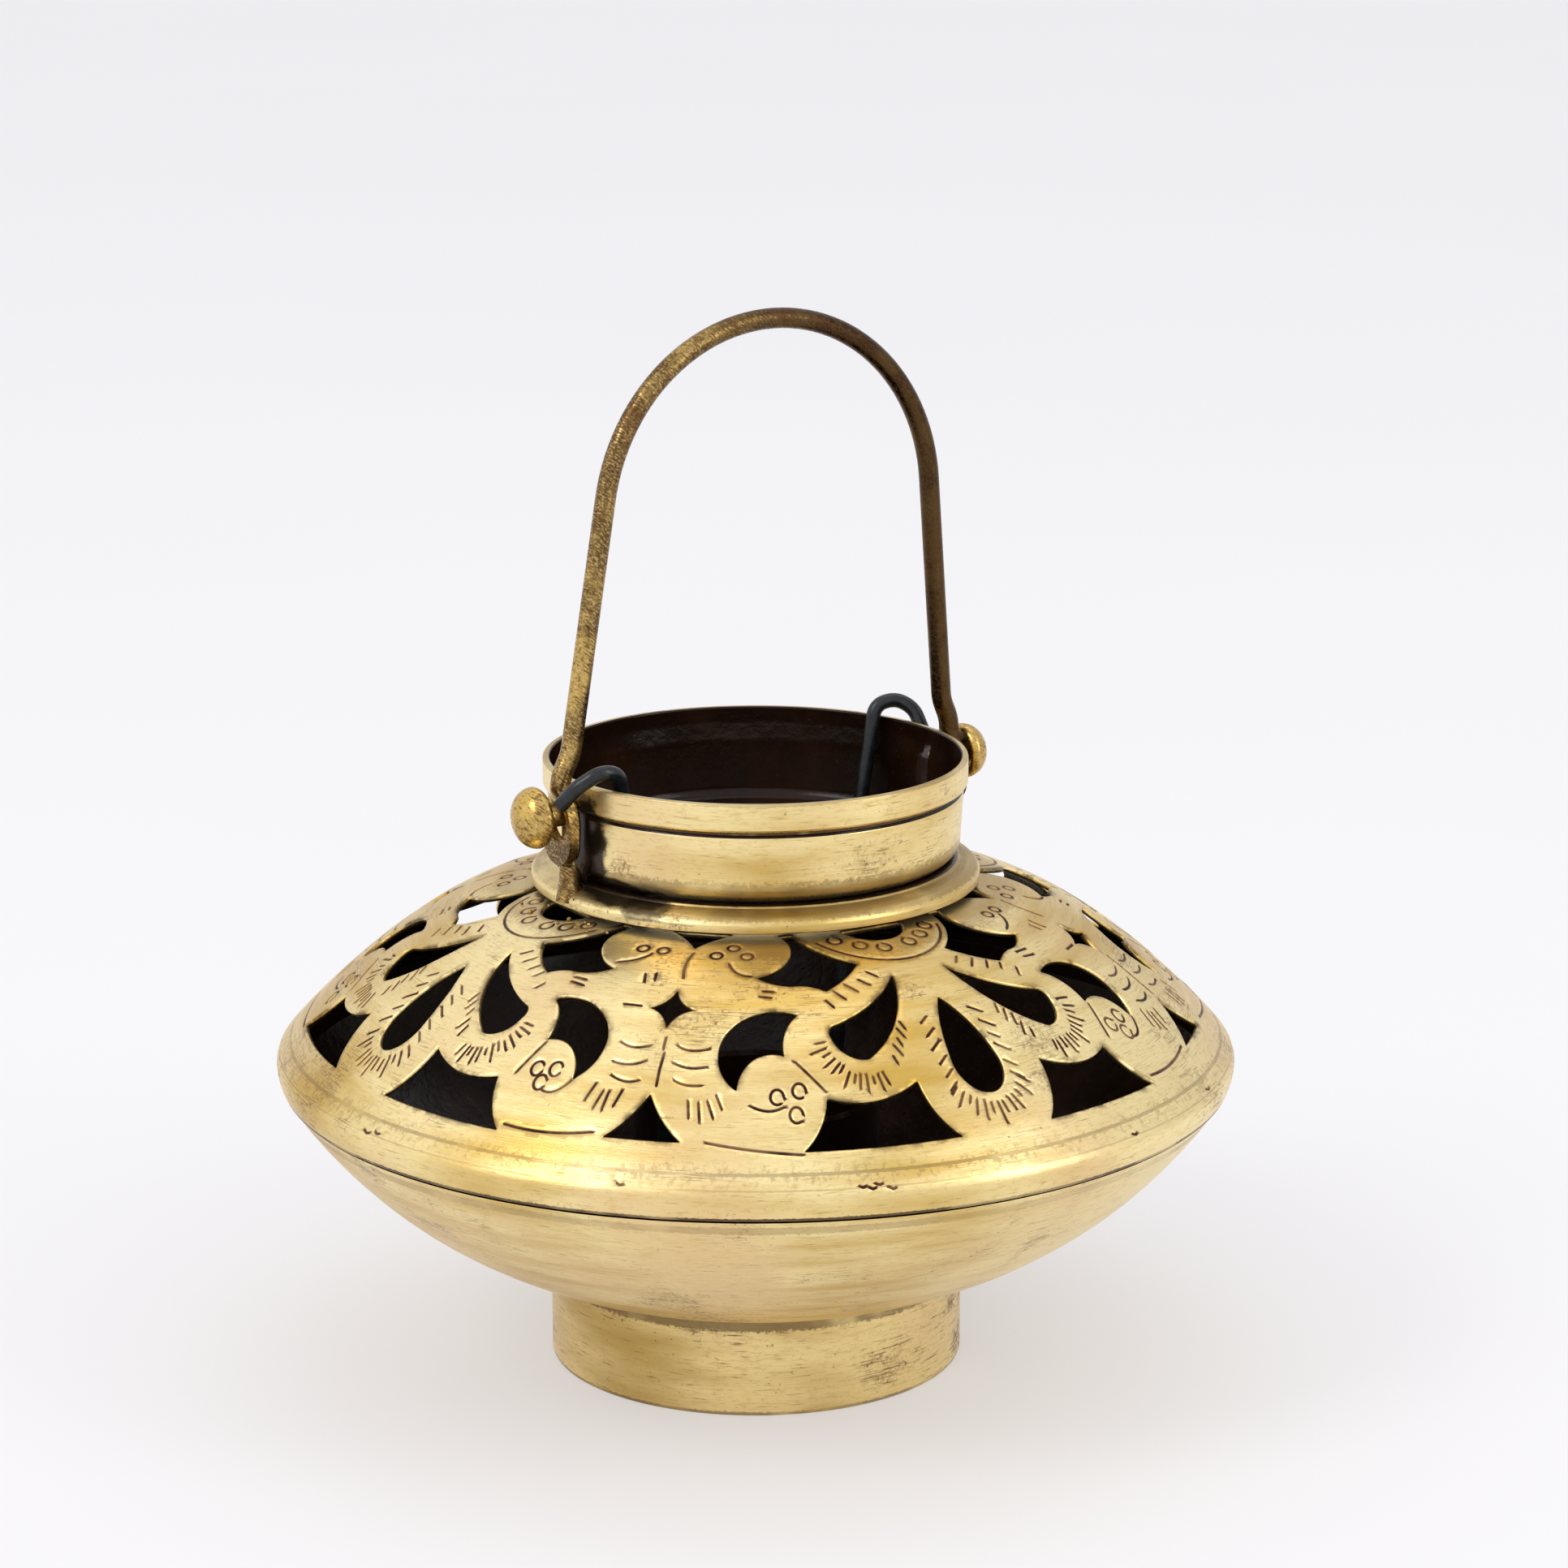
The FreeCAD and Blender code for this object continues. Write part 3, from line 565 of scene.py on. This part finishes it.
def arc_between(start, end, radius, parts):
    """Points on the arc bulging up and outwards from start to end."""
    start, end = np.array(start), np.array(end)
    chord = end - start
    length = np.linalg.norm(chord)
    across = np.array([-chord[1], chord[0]]) / length
    centre = (start + end) / 2 - across * math.sqrt(radius ** 2 - length ** 2 / 4)
    first = math.atan2(*(start - centre)[::-1])
    last = math.atan2(*(end - centre)[::-1])
    turn = np.linspace(first, last, parts + 1)
    return centre + radius * np.stack([np.cos(turn), np.sin(turn)], -1)


skin = []
for (start, radius), (end, _) in zip(DOME_SKIN, DOME_SKIN[1:]):
    parts = max(12, int(np.linalg.norm(np.subtract(end, start)) / 0.4))
    skin += list(arc_between(start, end, radius, parts))[:-1]
skin = np.array(skin + [DOME_SKIN[-1][0]])
run = np.r_[0, np.cumsum(np.linalg.norm(np.diff(skin, axis=0), axis=1))] + skin[0, 0]
leaning = np.gradient(skin, run, axis=0)
# the part of the skin whose radius still grows, for looking up a plan radius
top_half = slice(0, int(np.argmax(skin[:, 0])) + 1)


def unrolled(points):
    """Plan points with their radius replaced by the distance along the skin."""
    points = np.asarray(points, float)
    radius = np.hypot(points[:, 0], points[:, 1])
    return points * (np.interp(radius, skin[top_half, 0], run[top_half]) / radius)[:, None]


def lifted(points, depth):
    """Unrolled points put back on the dome, pressed in by depth."""
    distance = np.hypot(points[:, 0], points[:, 1])
    radius = np.interp(distance, run, skin[:, 0])
    height = np.interp(distance, run, skin[:, 1])
    lean_r = np.interp(distance, run, leaning[:, 0])
    lean_z = np.interp(distance, run, leaning[:, 1])
    size = np.hypot(lean_r, lean_z)
    radius = radius + lean_z / size * depth
    height = height - lean_r / size * depth
    way = points / distance[:, None]
    return np.stack([way[:, 0] * radius, way[:, 1] * radius, height], -1)


def arc_through(a, b, c, parts=8):
    """Points on the circle through three plan points, or on the bend they show."""
    a, b, c = (np.array(p, float) for p in (a, b, c))
    s = np.linspace(0, 1, parts + 1)[:, None]
    control = 2 * b - (a + c) / 2
    return (1 - s) ** 2 * a + 2 * s * (1 - s) * control + s * s * c


def ring(x, y, radius, start=0, sweep=360):
    turn = np.radians(start + np.linspace(0, sweep, 19))
    return np.stack([x + radius * np.cos(turn), y + radius * np.sin(turn)], -1)


def scroll_marks():
    """Chased marks of the double scroll, x across its axis and y outwards."""
    marks = []
    for x, y in ((-10.2, 51), (-6.2, 51.7), (7.7, 48.8), (4.6, 52.3), (10.8, 51.5)):
        marks.append(ring(x, y, 1.2))
    for x, y in ((-24.3, 79.5), (-20.3, 80), (-22.7, 82.2), (28, 79.3), (24.2, 81.3), (28.6, 83.3)):
        marks.append(ring(x, y, 1.3, 40, 300))
    for bend in (
        ((19.5, 84.2), (23, 84.3), (25.8, 82.9)), ((-22, 83.6), (-19, 84), (-15.8, 82)),
        ((8.3, 55), (10.5, 57.5), (13.5, 57.9)), ((-14.3, 56), (-11, 55.3), (-8.5, 53.5)),
        ((-7.8, 75.9), (-5, 76.7), (-2, 76.2)), ((-9, 79.3), (-5.5, 79.9), (-2.5, 79.2)),
        ((-8.5, 82), (-5.5, 83), (-2.8, 82.7)), ((3.5, 76.2), (6, 76.7), (9.2, 76)),
        ((3.5, 79.4), (6.5, 79.9), (9.5, 79.3)), ((4, 82.2), (6.5, 82.8), (9.5, 82.5)),
        ((-28.5, 88.2), (-19.5, 90.8), (-10, 91.4)), ((13, 91.6), (22, 90.9), (31, 89)),
        ((0.4, 52), (-0.2, 56), (0.3, 60)),
    ):
        marks.append(arc_through(*bend))
    for start, end in (
        ((-11.2, 83.3), (-12.6, 85.8)), ((-9.7, 84.8), (-10.9, 87.4)), ((-8.3, 85.2), (-8.9, 87.8)),
        ((-5.8, 85), (-6.8, 87.3)), ((7.6, 85.4), (8.4, 88.2)), ((9.7, 85.5), (10.6, 88.3)),
        ((11.3, 85), (13, 87.5)), ((12.8, 83.8), (14.5, 86)), ((-21.8, 59.8), (-19.5, 60.8)),
        ((-22.3, 61), (-19.8, 62.3)), ((16.8, 61.3), (18.5, 61)), ((16.9, 62.8), (18.6, 62.6)),
        ((-7.6, 59.6), (-7.3, 61.5)), ((-5.5, 59.5), (-5.3, 61.5)), ((-9.5, 67.6), (-6.4, 68.0)),
        ((26.3, 74.6), (33, 77.8)), ((-23.8, 74.6), (-28.6, 79.6)),
        ((0.7, 74.5), (0.7, 76.6)), ((0.7, 77.4), (0.6, 79.8)), ((0.6, 80.6), (0.7, 83.6)),
    ):
        marks.append(np.array([start, end]))
    return marks


def fan_marks():
    """Chased marks of the half moon and of the three petals under it."""
    marks = [ring(0, 42.8, 14.6, 14, 152)]
    for x, y in ((-10.4, 46.6), (-6.7, 50.2), (-2.4, 52.7), (3.6, 51.8), (8.0, 49.6), (11.0, 46.4)):
        marks.append(ring(x, y, 1.45, -60, 300))
    # short strokes fanned round the lower end of each petal
    for heading, x, y, inner, spread in (
        (0, 0, 81, 8.4, 116), (-50, 20.5, 72, 7.4, 108), (50, -20.5, 72, 7.4, 108),
    ):
        steps = int(spread / 9)
        for k in range(steps + 1):
            turn = math.radians(90 + heading - spread / 2 + spread * k / steps)
            way = np.array([math.cos(turn), math.sin(turn)])
            middle = np.array([x, y])
            reach = 2.1 + 0.9 * math.sin(2.4 * k)
            marks.append(np.array([middle + way * inner, middle + way * (inner + reach)]))
    for side in (-1, 1):
        for x, y, lean in (
            (9.4, 60.6, 1.2), (12.4, 62.0, 1.1), (15.6, 62.6, 0.9), (18.8, 63.2, 0.7), (22, 64.6, 0.5),
        ):
            marks.append(np.array([(side * x, y), (side * (x + lean), y - 1.7)]))
        for k in range(6):
            y = 72 + 2.6 * k
            marks.append(np.array([(side * (5.2 + 0.25 * k), y), (side * (7.2 + 0.25 * k), y + 1.1)]))
        # and along the outer edge of each side petal
        lean = math.radians(90 - 50 * side)
        along = np.array([math.cos(lean), math.sin(lean)])
        across = np.array([-along[1], along[0]]) * side
        for k in range(2, 7):
            foot = np.array([20.5 * side, 72]) + along * (1.9 * k - 11.2) + across * (5.0 + 0.3 * k)
            marks.append(np.array([foot, foot + along * 0.8 + across * (1.5 + 0.5 * math.sin(3 * k))]))
    return marks


def pits():
    """Short gouges in the belly's nose, each at a turn in degrees and a plan radius."""
    gouges = []
    for turn, radius in (
        (249.0, 99.1), (250.1, 99.35), (250.9, 98.9), (252.4, 99.5), (186.5, 99.2), (188.2, 98.8),
        (222.0, 99.0), (286.0, 99.1), (305.0, 98.8), (40.0, 99.2), (95.0, 98.9), (140.0, 99.3),
    ):
        sweep = np.radians(turn + np.array([-0.45, 0, 0.4]))
        away = radius + np.array([-0.15, 0.1, -0.05])
        gouges.append(np.stack([away * np.cos(sweep), away * np.sin(sweep)], -1))
    return gouges


def on_axis(points, angle):
    """Motif points turned onto the motif's own axis, in plan."""
    points = np.asarray(points)
    out = np.array([math.cos(angle), math.sin(angle)])
    side = np.array([-math.sin(angle), math.cos(angle)])
    return points[:, 1:] * out + points[:, :1] * side


def spaced(points, step, closed=False):
    """Evenly spaced points along a line of plan points."""
    points = np.vstack([points, points[:1]]) if closed else np.asarray(points)
    length = np.r_[0, np.cumsum(np.linalg.norm(np.diff(points, axis=0), axis=1))]
    parts = max(2, int(length[-1] / step))
    at = np.linspace(0, length[-1], parts + 1)
    out = np.stack([np.interp(at, length, points[:, k]) for k in (0, 1)], -1)
    return out[:-1] if closed else out


# an opening's edge joins an upright wall to the upper skin, between two radii
WALL_LEAN, SKIN_LIFT = 0.03, 0.3
OPENINGS_FROM, OPENINGS_TO = 39.2, 96.5


def opening_outlines():
    """The outlines of the CAD dome's openings in plan, from its own mesh."""
    mesh = clean_mesh("pierced_dome")
    mesh.verts.index_update()
    edges, points = [], {}
    for edge in mesh.edges:
        if len(edge.link_faces) != 2:
            continue
        leans = sorted(abs(face.normal.z) for face in edge.link_faces)
        lifts = max(face.normal.z for face in edge.link_faces)
        middle = (edge.verts[0].co + edge.verts[1].co) / 2
        spread = math.hypot(middle.x, middle.y) / MM
        if leans[0] < WALL_LEAN and lifts > SKIN_LIFT and OPENINGS_FROM < spread < OPENINGS_TO:
            edges.append((edge.verts[0].index, edge.verts[1].index))
            for vert in edge.verts:
                points[vert.index] = (vert.co.x / MM, vert.co.y / MM)
    mesh.free()
    return [np.array([points[i] for i in loop]) for loop in chained(edges)]


def within(points, outline):
    """Which points lie inside a closed outline."""
    inside_it = np.zeros(len(points), bool)
    low, high = outline.min(0), outline.max(0)
    near = np.where(((points >= low) & (points <= high)).all(1))[0]
    x, y = points[near, 0], points[near, 1]
    odd = np.zeros(len(near), bool)
    for a, b in zip(outline, np.roll(outline, -1, axis=0)):
        if a[1] == b[1]:
            continue
        crosses = (a[1] > y) != (b[1] > y)
        odd ^= crosses & (x < (b[0] - a[0]) * (y - a[1]) / (b[1] - a[1]) + a[0])
    inside_it[near] = odd
    return inside_it


def tree_of(points):
    tree = kdtree.KDTree(len(points))
    for index, point in enumerate(points):
        tree.insert((point[0], point[1], 0), index)
    tree.balance()
    return tree


def reach_to(tree, points):
    return np.array([tree.find((p[0], p[1], 0))[2] for p in points])


def make_dome():
    outlines = [spaced(unrolled(o), 0.45, True) for o in opening_outlines()]
    turn = np.arange(ROUND_STEPS * 2) * math.tau / (ROUND_STEPS * 2)
    circle = np.stack([np.cos(turn), np.sin(turn)], -1)
    lip = circle * run[-1]
    hole = circle[::3] * run[0]
    strokes = []
    for k in range(MOTIFS):
        for marks, axis in ((scroll_marks(), SCROLL_AXIS), (fan_marks(), FAN_AXIS)):
            for mark in marks:
                placed = on_axis(mark, axis + k * math.tau / MOTIFS)
                jitter = rng.normal(0, 0.12, 2)
                strokes.append(spaced(unrolled(placed + jitter), 0.3))
    strokes += [spaced(unrolled(gouge), 0.3) for gouge in pits()]
    # groove points: the bottom of each stroke and its two shoulders
    bottoms, shoulders = [], []
    for stroke in strokes:
        way = np.gradient(stroke, axis=0)
        way /= np.maximum(np.linalg.norm(way, axis=1), 1e-9)[:, None]
        side = np.stack([-way[:, 1], way[:, 0]], -1) * GROOVE_HALF_WIDTH
        bottoms.append(stroke)
        shoulders += [stroke + side, stroke - side]
    bottoms, shoulders = np.vstack(bottoms), np.vstack(shoulders)
    edge_points = np.vstack(outlines)
    edge_tree, mark_tree = tree_of(edge_points), tree_of(bottoms)
    # an inner ring of points beside each opening, for its rounded edge
    beside = []
    for outline in outlines:
        way = np.roll(outline, -1, axis=0) - np.roll(outline, 1, axis=0)
        way /= np.linalg.norm(way, axis=1)[:, None]
        normal = np.stack([way[:, 1], -way[:, 0]], -1) * EDGE_REACH
        for offset in (outline + normal, outline - normal):
            beside.append(offset[~within(offset, outline)])
    beside = np.vstack(beside)
    beside = beside[reach_to(edge_tree, beside) > 0.7 * EDGE_REACH]
    # an even grid everywhere else
    columns = np.arange(-run[-1], run[-1], GRID)
    rows = np.arange(-run[-1], run[-1], GRID * 0.866)
    gx, gy = np.meshgrid(columns, rows)
    gx = gx + (np.arange(len(rows)) % 2)[:, None] * GRID / 2
    grid = np.stack([gx.ravel(), gy.ravel()], -1)
    far = np.hypot(grid[:, 0], grid[:, 1])
    nose = np.interp(96.6, skin[top_half, 0], run[top_half])
    grid = grid[(far > run[0] + 0.5) & (far < nose - 0.4)]
    bands = [circle * d for d in np.arange(nose, run[-1] - 0.3, 0.62)]
    shoulders = shoulders[reach_to(edge_tree, shoulders) > 0.5]
    inside_any = np.zeros(len(bottoms), bool)
    for outline in outlines:
        inside_any |= within(bottoms, outline)
    bottoms = bottoms[~inside_any & (reach_to(edge_tree, bottoms) > 0.3)]
    crowd = tree_of(np.vstack([edge_points, bottoms, shoulders, beside]))
    grid = grid[reach_to(crowd, grid) > 0.42 * GRID]
    loops = outlines + [hole, lip]
    points = list(map(Vector, np.vstack(loops + [bottoms, shoulders, beside, grid] + bands)))
    edges, start = [], 0
    for loop in loops:
        count = len(loop)
        edges += [(start + k, start + (k + 1) % count) for k in range(count)]
        start += count
    flat, _, faces, *_ = delaunay_2d_cdt(points, edges, [], 0, 1e-4)
    flat = np.array([tuple(p) for p in flat])
    faces = np.array([tuple(f) for f in faces])
    middle = flat[faces].mean(1)
    distance = np.hypot(middle[:, 0], middle[:, 1])
    solid = distance > run[0]
    for outline in outlines:
        solid &= ~within(middle, outline)
    faces = faces[solid]
    used = np.unique(faces)
    flat = flat[used]
    faces = np.searchsorted(used, faces)
    # pressed marks and rounded edges
    to_mark = reach_to(mark_tree, flat)
    to_edge = reach_to(edge_tree, flat)
    pressed = np.clip(1 - to_mark / GROOVE_HALF_WIDTH, 0, 1)
    pressed = pressed * pressed * (3 - 2 * pressed)
    edge = np.clip(1 - to_edge / EDGE_REACH, 0, 1)
    spin = np.arctan2(flat[:, 1], flat[:, 0])
    distance = np.hypot(flat[:, 0], flat[:, 1])
    dents = uneven(spin, distance / 900, 0.10, 11)
    depth = 0.06 + GROOVE_DEPTH * pressed + EDGE_DROP * edge ** 2 + dents * 0.5
    outer = lifted(flat, depth)
    inner = lifted(flat, np.full(len(flat), SHEET))
    count = len(flat)
    # the cut walls join the two skins along every open edge
    sides = np.sort(np.vstack([faces[:, [0, 1]], faces[:, [1, 2]], faces[:, [2, 0]]]), axis=1)
    pairs, times = np.unique(sides, axis=0, return_counts=True)
    rim = pairs[times == 1]
    walls = [(a, b, b + count, a + count) for a, b in rim]
    all_faces = [tuple(f) for f in faces] + [tuple(f[::-1] + count) for f in faces] + walls
    lacquered = [0] * len(faces) + [1] * len(faces) + [0] * len(walls)
    piece = new_object(
        "pierced_dome_skin", np.vstack([outer, inner]) * MM, all_faces,
        [brass("dome_brass", -1, 0.55, 0.6, 0.42, marks=True, chatter=69.6,
               rings=((seam_mm + 0.2, 0.9, 0.9), (69.9, 0.55, 0.45), (67.4, 0.3, 0.3),
                      (dome_high[2], 5.0, 0.35))), inside],
        lacquered,
    )
    for name, amount in (("pressed", pressed), ("edge", np.clip(1 - to_edge / 1.1, 0, 1))):
        layer = piece.data.attributes.new(name, "FLOAT", "POINT")
        layer.data.foreach_set("value", np.r_[amount, amount * 0].astype(np.float32))
    tidy = bmesh.new()
    tidy.from_mesh(piece.data)
    bmesh.ops.recalc_face_normals(tidy, faces=tidy.faces)
    tidy.to_mesh(piece.data)
    tidy.free()
    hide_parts("pierced_dome")
    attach(piece, "lantern")
    return piece


make_dome()

# ------------------------------------------------------- rods, knobs and wires
# the bail's half towards +X gets painted shade in its colour
rod_brass = brass("rod_brass", 0, 0.75, 0.75, 0.9, 0.8, ROD_LIGHT, ROD_DEEP, rod=True, painted_shade_right=0.9)
knob_brass = brass("knob_brass", 0, 0.8, 0.7, 0.7, 0.55, DEEP_BRASS, ROD_LIGHT, rod=True)
for node, material in (
    ("bail_handle", rod_brass), ("left_pin_knob", knob_brass), ("right_pin_knob", knob_brass),
    ("left_pivot_pin", rod_brass), ("right_pivot_pin", rod_brass),
    ("left_pivot_post", rod_brass), ("right_pivot_post", rod_brass),
    ("left_cup_wire", wire_finish), ("right_cup_wire", wire_finish), ("candle_cup", inside),
):
    thing = nodes[node]
    thing.data.materials.clear()
    thing.data.materials.append(material)
    thing.data.polygons.foreach_set("use_smooth", [True] * len(thing.data.polygons))
    thing.data.set_sharp_from_angle(angle=math.radians(40))

# ------------------------------------------- braze at the posts, and spatter


BALLS_AT_A_PLACE = 3


def lump(name, places, stretch, material, seed):
    """A run of braze: balls (place in mm, radius in mm) melted into one skin."""
    ball = bpy.data.metaballs.new(name)
    ball.resolution = ball.render_resolution = 0.25 * MM
    ball.threshold = 0.5
    local = np.random.default_rng(seed)
    for (x, y, z), radius in places:
        for _ in range(BALLS_AT_A_PLACE):
            element = ball.elements.new()
            shift = local.normal(0, 0.22 * radius, 3)
            element.co = Vector((x + shift[0], y + shift[1], z + shift[2])) * MM
            element.radius = radius * MM * stretch
    melted = bpy.data.objects.new(name + "_ball", ball)
    bpy.context.scene.collection.objects.link(melted)
    bpy.context.view_layer.update()
    mesh = bpy.data.meshes.new_from_object(melted.evaluated_get(bpy.context.evaluated_depsgraph_get()))
    bpy.data.objects.remove(melted)
    bpy.data.metaballs.remove(ball)
    mesh.name = name
    mesh.materials.clear()
    mesh.materials.append(material)
    mesh.polygons.foreach_set("use_smooth", [True] * len(mesh.polygons))
    thing = bpy.data.objects.new(name, mesh)
    bpy.context.scene.collection.objects.link(thing)
    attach(thing, "lantern")
    return thing


BRAZE_STRETCH = 1.35
braze_reach = collar_high[0] - 0.9
braze_foot, braze_bend, braze_top = crease_mm + 1.0, rim_mm - 5.5, rim_mm - 0.8


def beside_neck(sign, across, height):
    """A place in mm on the neck's skin, across from the post at that side."""
    turn = math.asin(across / braze_reach)
    return sign * braze_reach * math.cos(turn), braze_reach * math.sin(turn), height


for side, sign in (("left", -1), ("right", 1)):
    runs = []
    for k, height in enumerate(np.linspace(braze_foot, braze_bend, 9)):
        for edge in (-1, 1):
            across = edge * (2.6 + 0.3 * math.sin(2.1 * k))
            runs.append((beside_neck(sign, across, height), 1.15))
    # above the bend the braze climbs to the rim on one side only
    for k, height in enumerate(np.linspace(braze_bend, braze_top, 5)):
        runs.append((beside_neck(sign, -sign * (3.0 + 0.5 * k), height), 1.25))
    lump(side + "_post_braze", runs, BRAZE_STRETCH, braze, 20 + (sign > 0))


BEAD_TURNS, BEAD_RADII, BEAD_DROP = (152, 200), (45.6, 51), 2.9
FLANGE_EDGE_RADIUS = 46.4


def beads(name, count, seed):
    """Tiny drops of spatter on the flange and dome beside the left post."""
    mesh = bmesh.new()
    local = np.random.default_rng(seed)
    for _ in range(count):
        turn = math.radians(local.uniform(*BEAD_TURNS))
        radius = local.uniform(*BEAD_RADII)
        if radius < FLANGE_EDGE_RADIUS:
            height = crease_mm - BEAD_DROP
        else:
            height = float(np.interp(radius, skin[top_half, 0], skin[top_half, 1]))
        size = local.uniform(0.32, 0.55)
        place = Vector((radius * math.cos(turn), radius * math.sin(turn), height + size * 0.3)) * MM
        new = bmesh.ops.create_icosphere(mesh, subdivisions=2, radius=size * MM)
        bmesh.ops.translate(mesh, verts=new["verts"], vec=place)
    data = bpy.data.meshes.new(name)
    mesh.to_mesh(data)
    mesh.free()
    data.materials.append(rod_brass)
    data.polygons.foreach_set("use_smooth", [True] * len(data.polygons))
    thing = bpy.data.objects.new(name, data)
    bpy.context.scene.collection.objects.link(thing)
    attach(thing, "lantern")


beads("spatter_beads", 14, 5)

# ------------------------------------------------------------ floor and lights
FLOOR_SIZE = 80
floor_material = Tree("glowing_studio_paper")
paper = floor_material.noise(floor_material.place, 3, 3, 0.5)
floor_material.put(
    floor_material.mix(paper, (0.44, 0.436, 0.44), (0.46, 0.456, 0.46)),
    floor_material.shader.inputs["Base Color"],
)
floor_material.shader.inputs["Roughness"].default_value = 0.85
# painted light: the floor paper glows a little of its own, which lifts the shadow under the lantern
floor_material.shader.inputs["Emission Color"].default_value = (0.98, 0.97, 1.0, 1)
floor_material.shader.inputs["Emission Strength"].default_value = 0.40
floor_material.shader.inputs["Specular IOR Level"].default_value = 0.2
bpy.ops.mesh.primitive_plane_add(size=FLOOR_SIZE, location=(0, 0, 0))
floor = bpy.context.object
floor.name = "floor"
floor.data.materials.append(floor_material.material)

world = bpy.data.worlds.new("studio")
bpy.context.scene.world = world
world.use_nodes = True
# the camera looks at the lantern from in front, left of the bail's plane
CAMERA_AZIMUTH = math.radians(-33.2)
CAMERA_PITCH = math.radians(14.02)
CAMERA_REACH, CAMERA_HEIGHT, CAMERA_SIDE = 0.962, 0.3625, 0.0059
LENS_MM = 110.07
heading = Vector((-math.sin(CAMERA_AZIMUTH), math.cos(CAMERA_AZIMUTH), 0))
sideways = Vector((math.cos(CAMERA_AZIMUTH), math.sin(CAMERA_AZIMUTH), 0))


def studio_place(right, back, up):
    """A place given from the camera's point of view, in metres."""
    return sideways * right + heading * back + Vector((0, 0, up))


LIGHTS_AIM = Vector((0, 0, 0.09))


def softbox(name, place, power, width, height):
    data = bpy.data.lights.new(name, "AREA")
    data.shape = "RECTANGLE"
    data.size, data.size_y = width, height
    data.energy = power
    lamp = bpy.data.objects.new(name, data)
    lamp.location = place
    lamp.rotation_euler = (LIGHTS_AIM - lamp.location).to_track_quat("-Z", "Y").to_euler()
    bpy.context.scene.collection.objects.link(lamp)


# the room is brightest up on the camera's left, and dimmer behind on the right
air = world.node_tree
backdrop = air.nodes["Background"]
toward_light = (-sideways * 0.55 - heading * 0.35 + Vector((0, 0, 0.75))).normalized()
facing = air.nodes.new("ShaderNodeVectorMath")
facing.operation = "DOT_PRODUCT"
facing.inputs[1].default_value = toward_light
shade = air.nodes.new("ShaderNodeMapRange")
shade.interpolation_type = "SMOOTHSTEP"
shade.inputs["From Min"].default_value = -0.5
shade.inputs["From Max"].default_value = 0.8
shade.inputs["To Min"].default_value = 0.80
shade.inputs["To Max"].default_value = 1.04
air.links.new(air.nodes.new("ShaderNodeTexCoord").outputs["Generated"], facing.inputs[0])
air.links.new(facing.outputs["Value"], shade.inputs["Value"])
air.links.new(shade.outputs[0], backdrop.inputs["Strength"])
backdrop.inputs["Color"].default_value = (0.97, 0.97, 1.0, 1)

softbox("key_left", studio_place(-1.3, -0.9, 1.5), 10, 0.8, 0.8)
softbox("fill_right", studio_place(1.3, -0.6, 0.8), 5.5, 0.5, 1.2)
softbox("top", studio_place(0.1, 0.5, 2.0), 2.5, 1.2, 0.8)
bpy.context.scene.view_settings.view_transform = "Standard"

camera = bpy.data.objects.new("camera", bpy.data.cameras.new("camera"))
camera.data.lens = LENS_MM
camera.data.sensor_width = 36
camera.location = -heading * CAMERA_REACH + sideways * CAMERA_SIDE + Vector((0, 0, CAMERA_HEIGHT))
camera.rotation_euler = (math.pi / 2 - CAMERA_PITCH, 0, CAMERA_AZIMUTH)
bpy.context.scene.collection.objects.link(camera)
bpy.context.scene.camera = camera
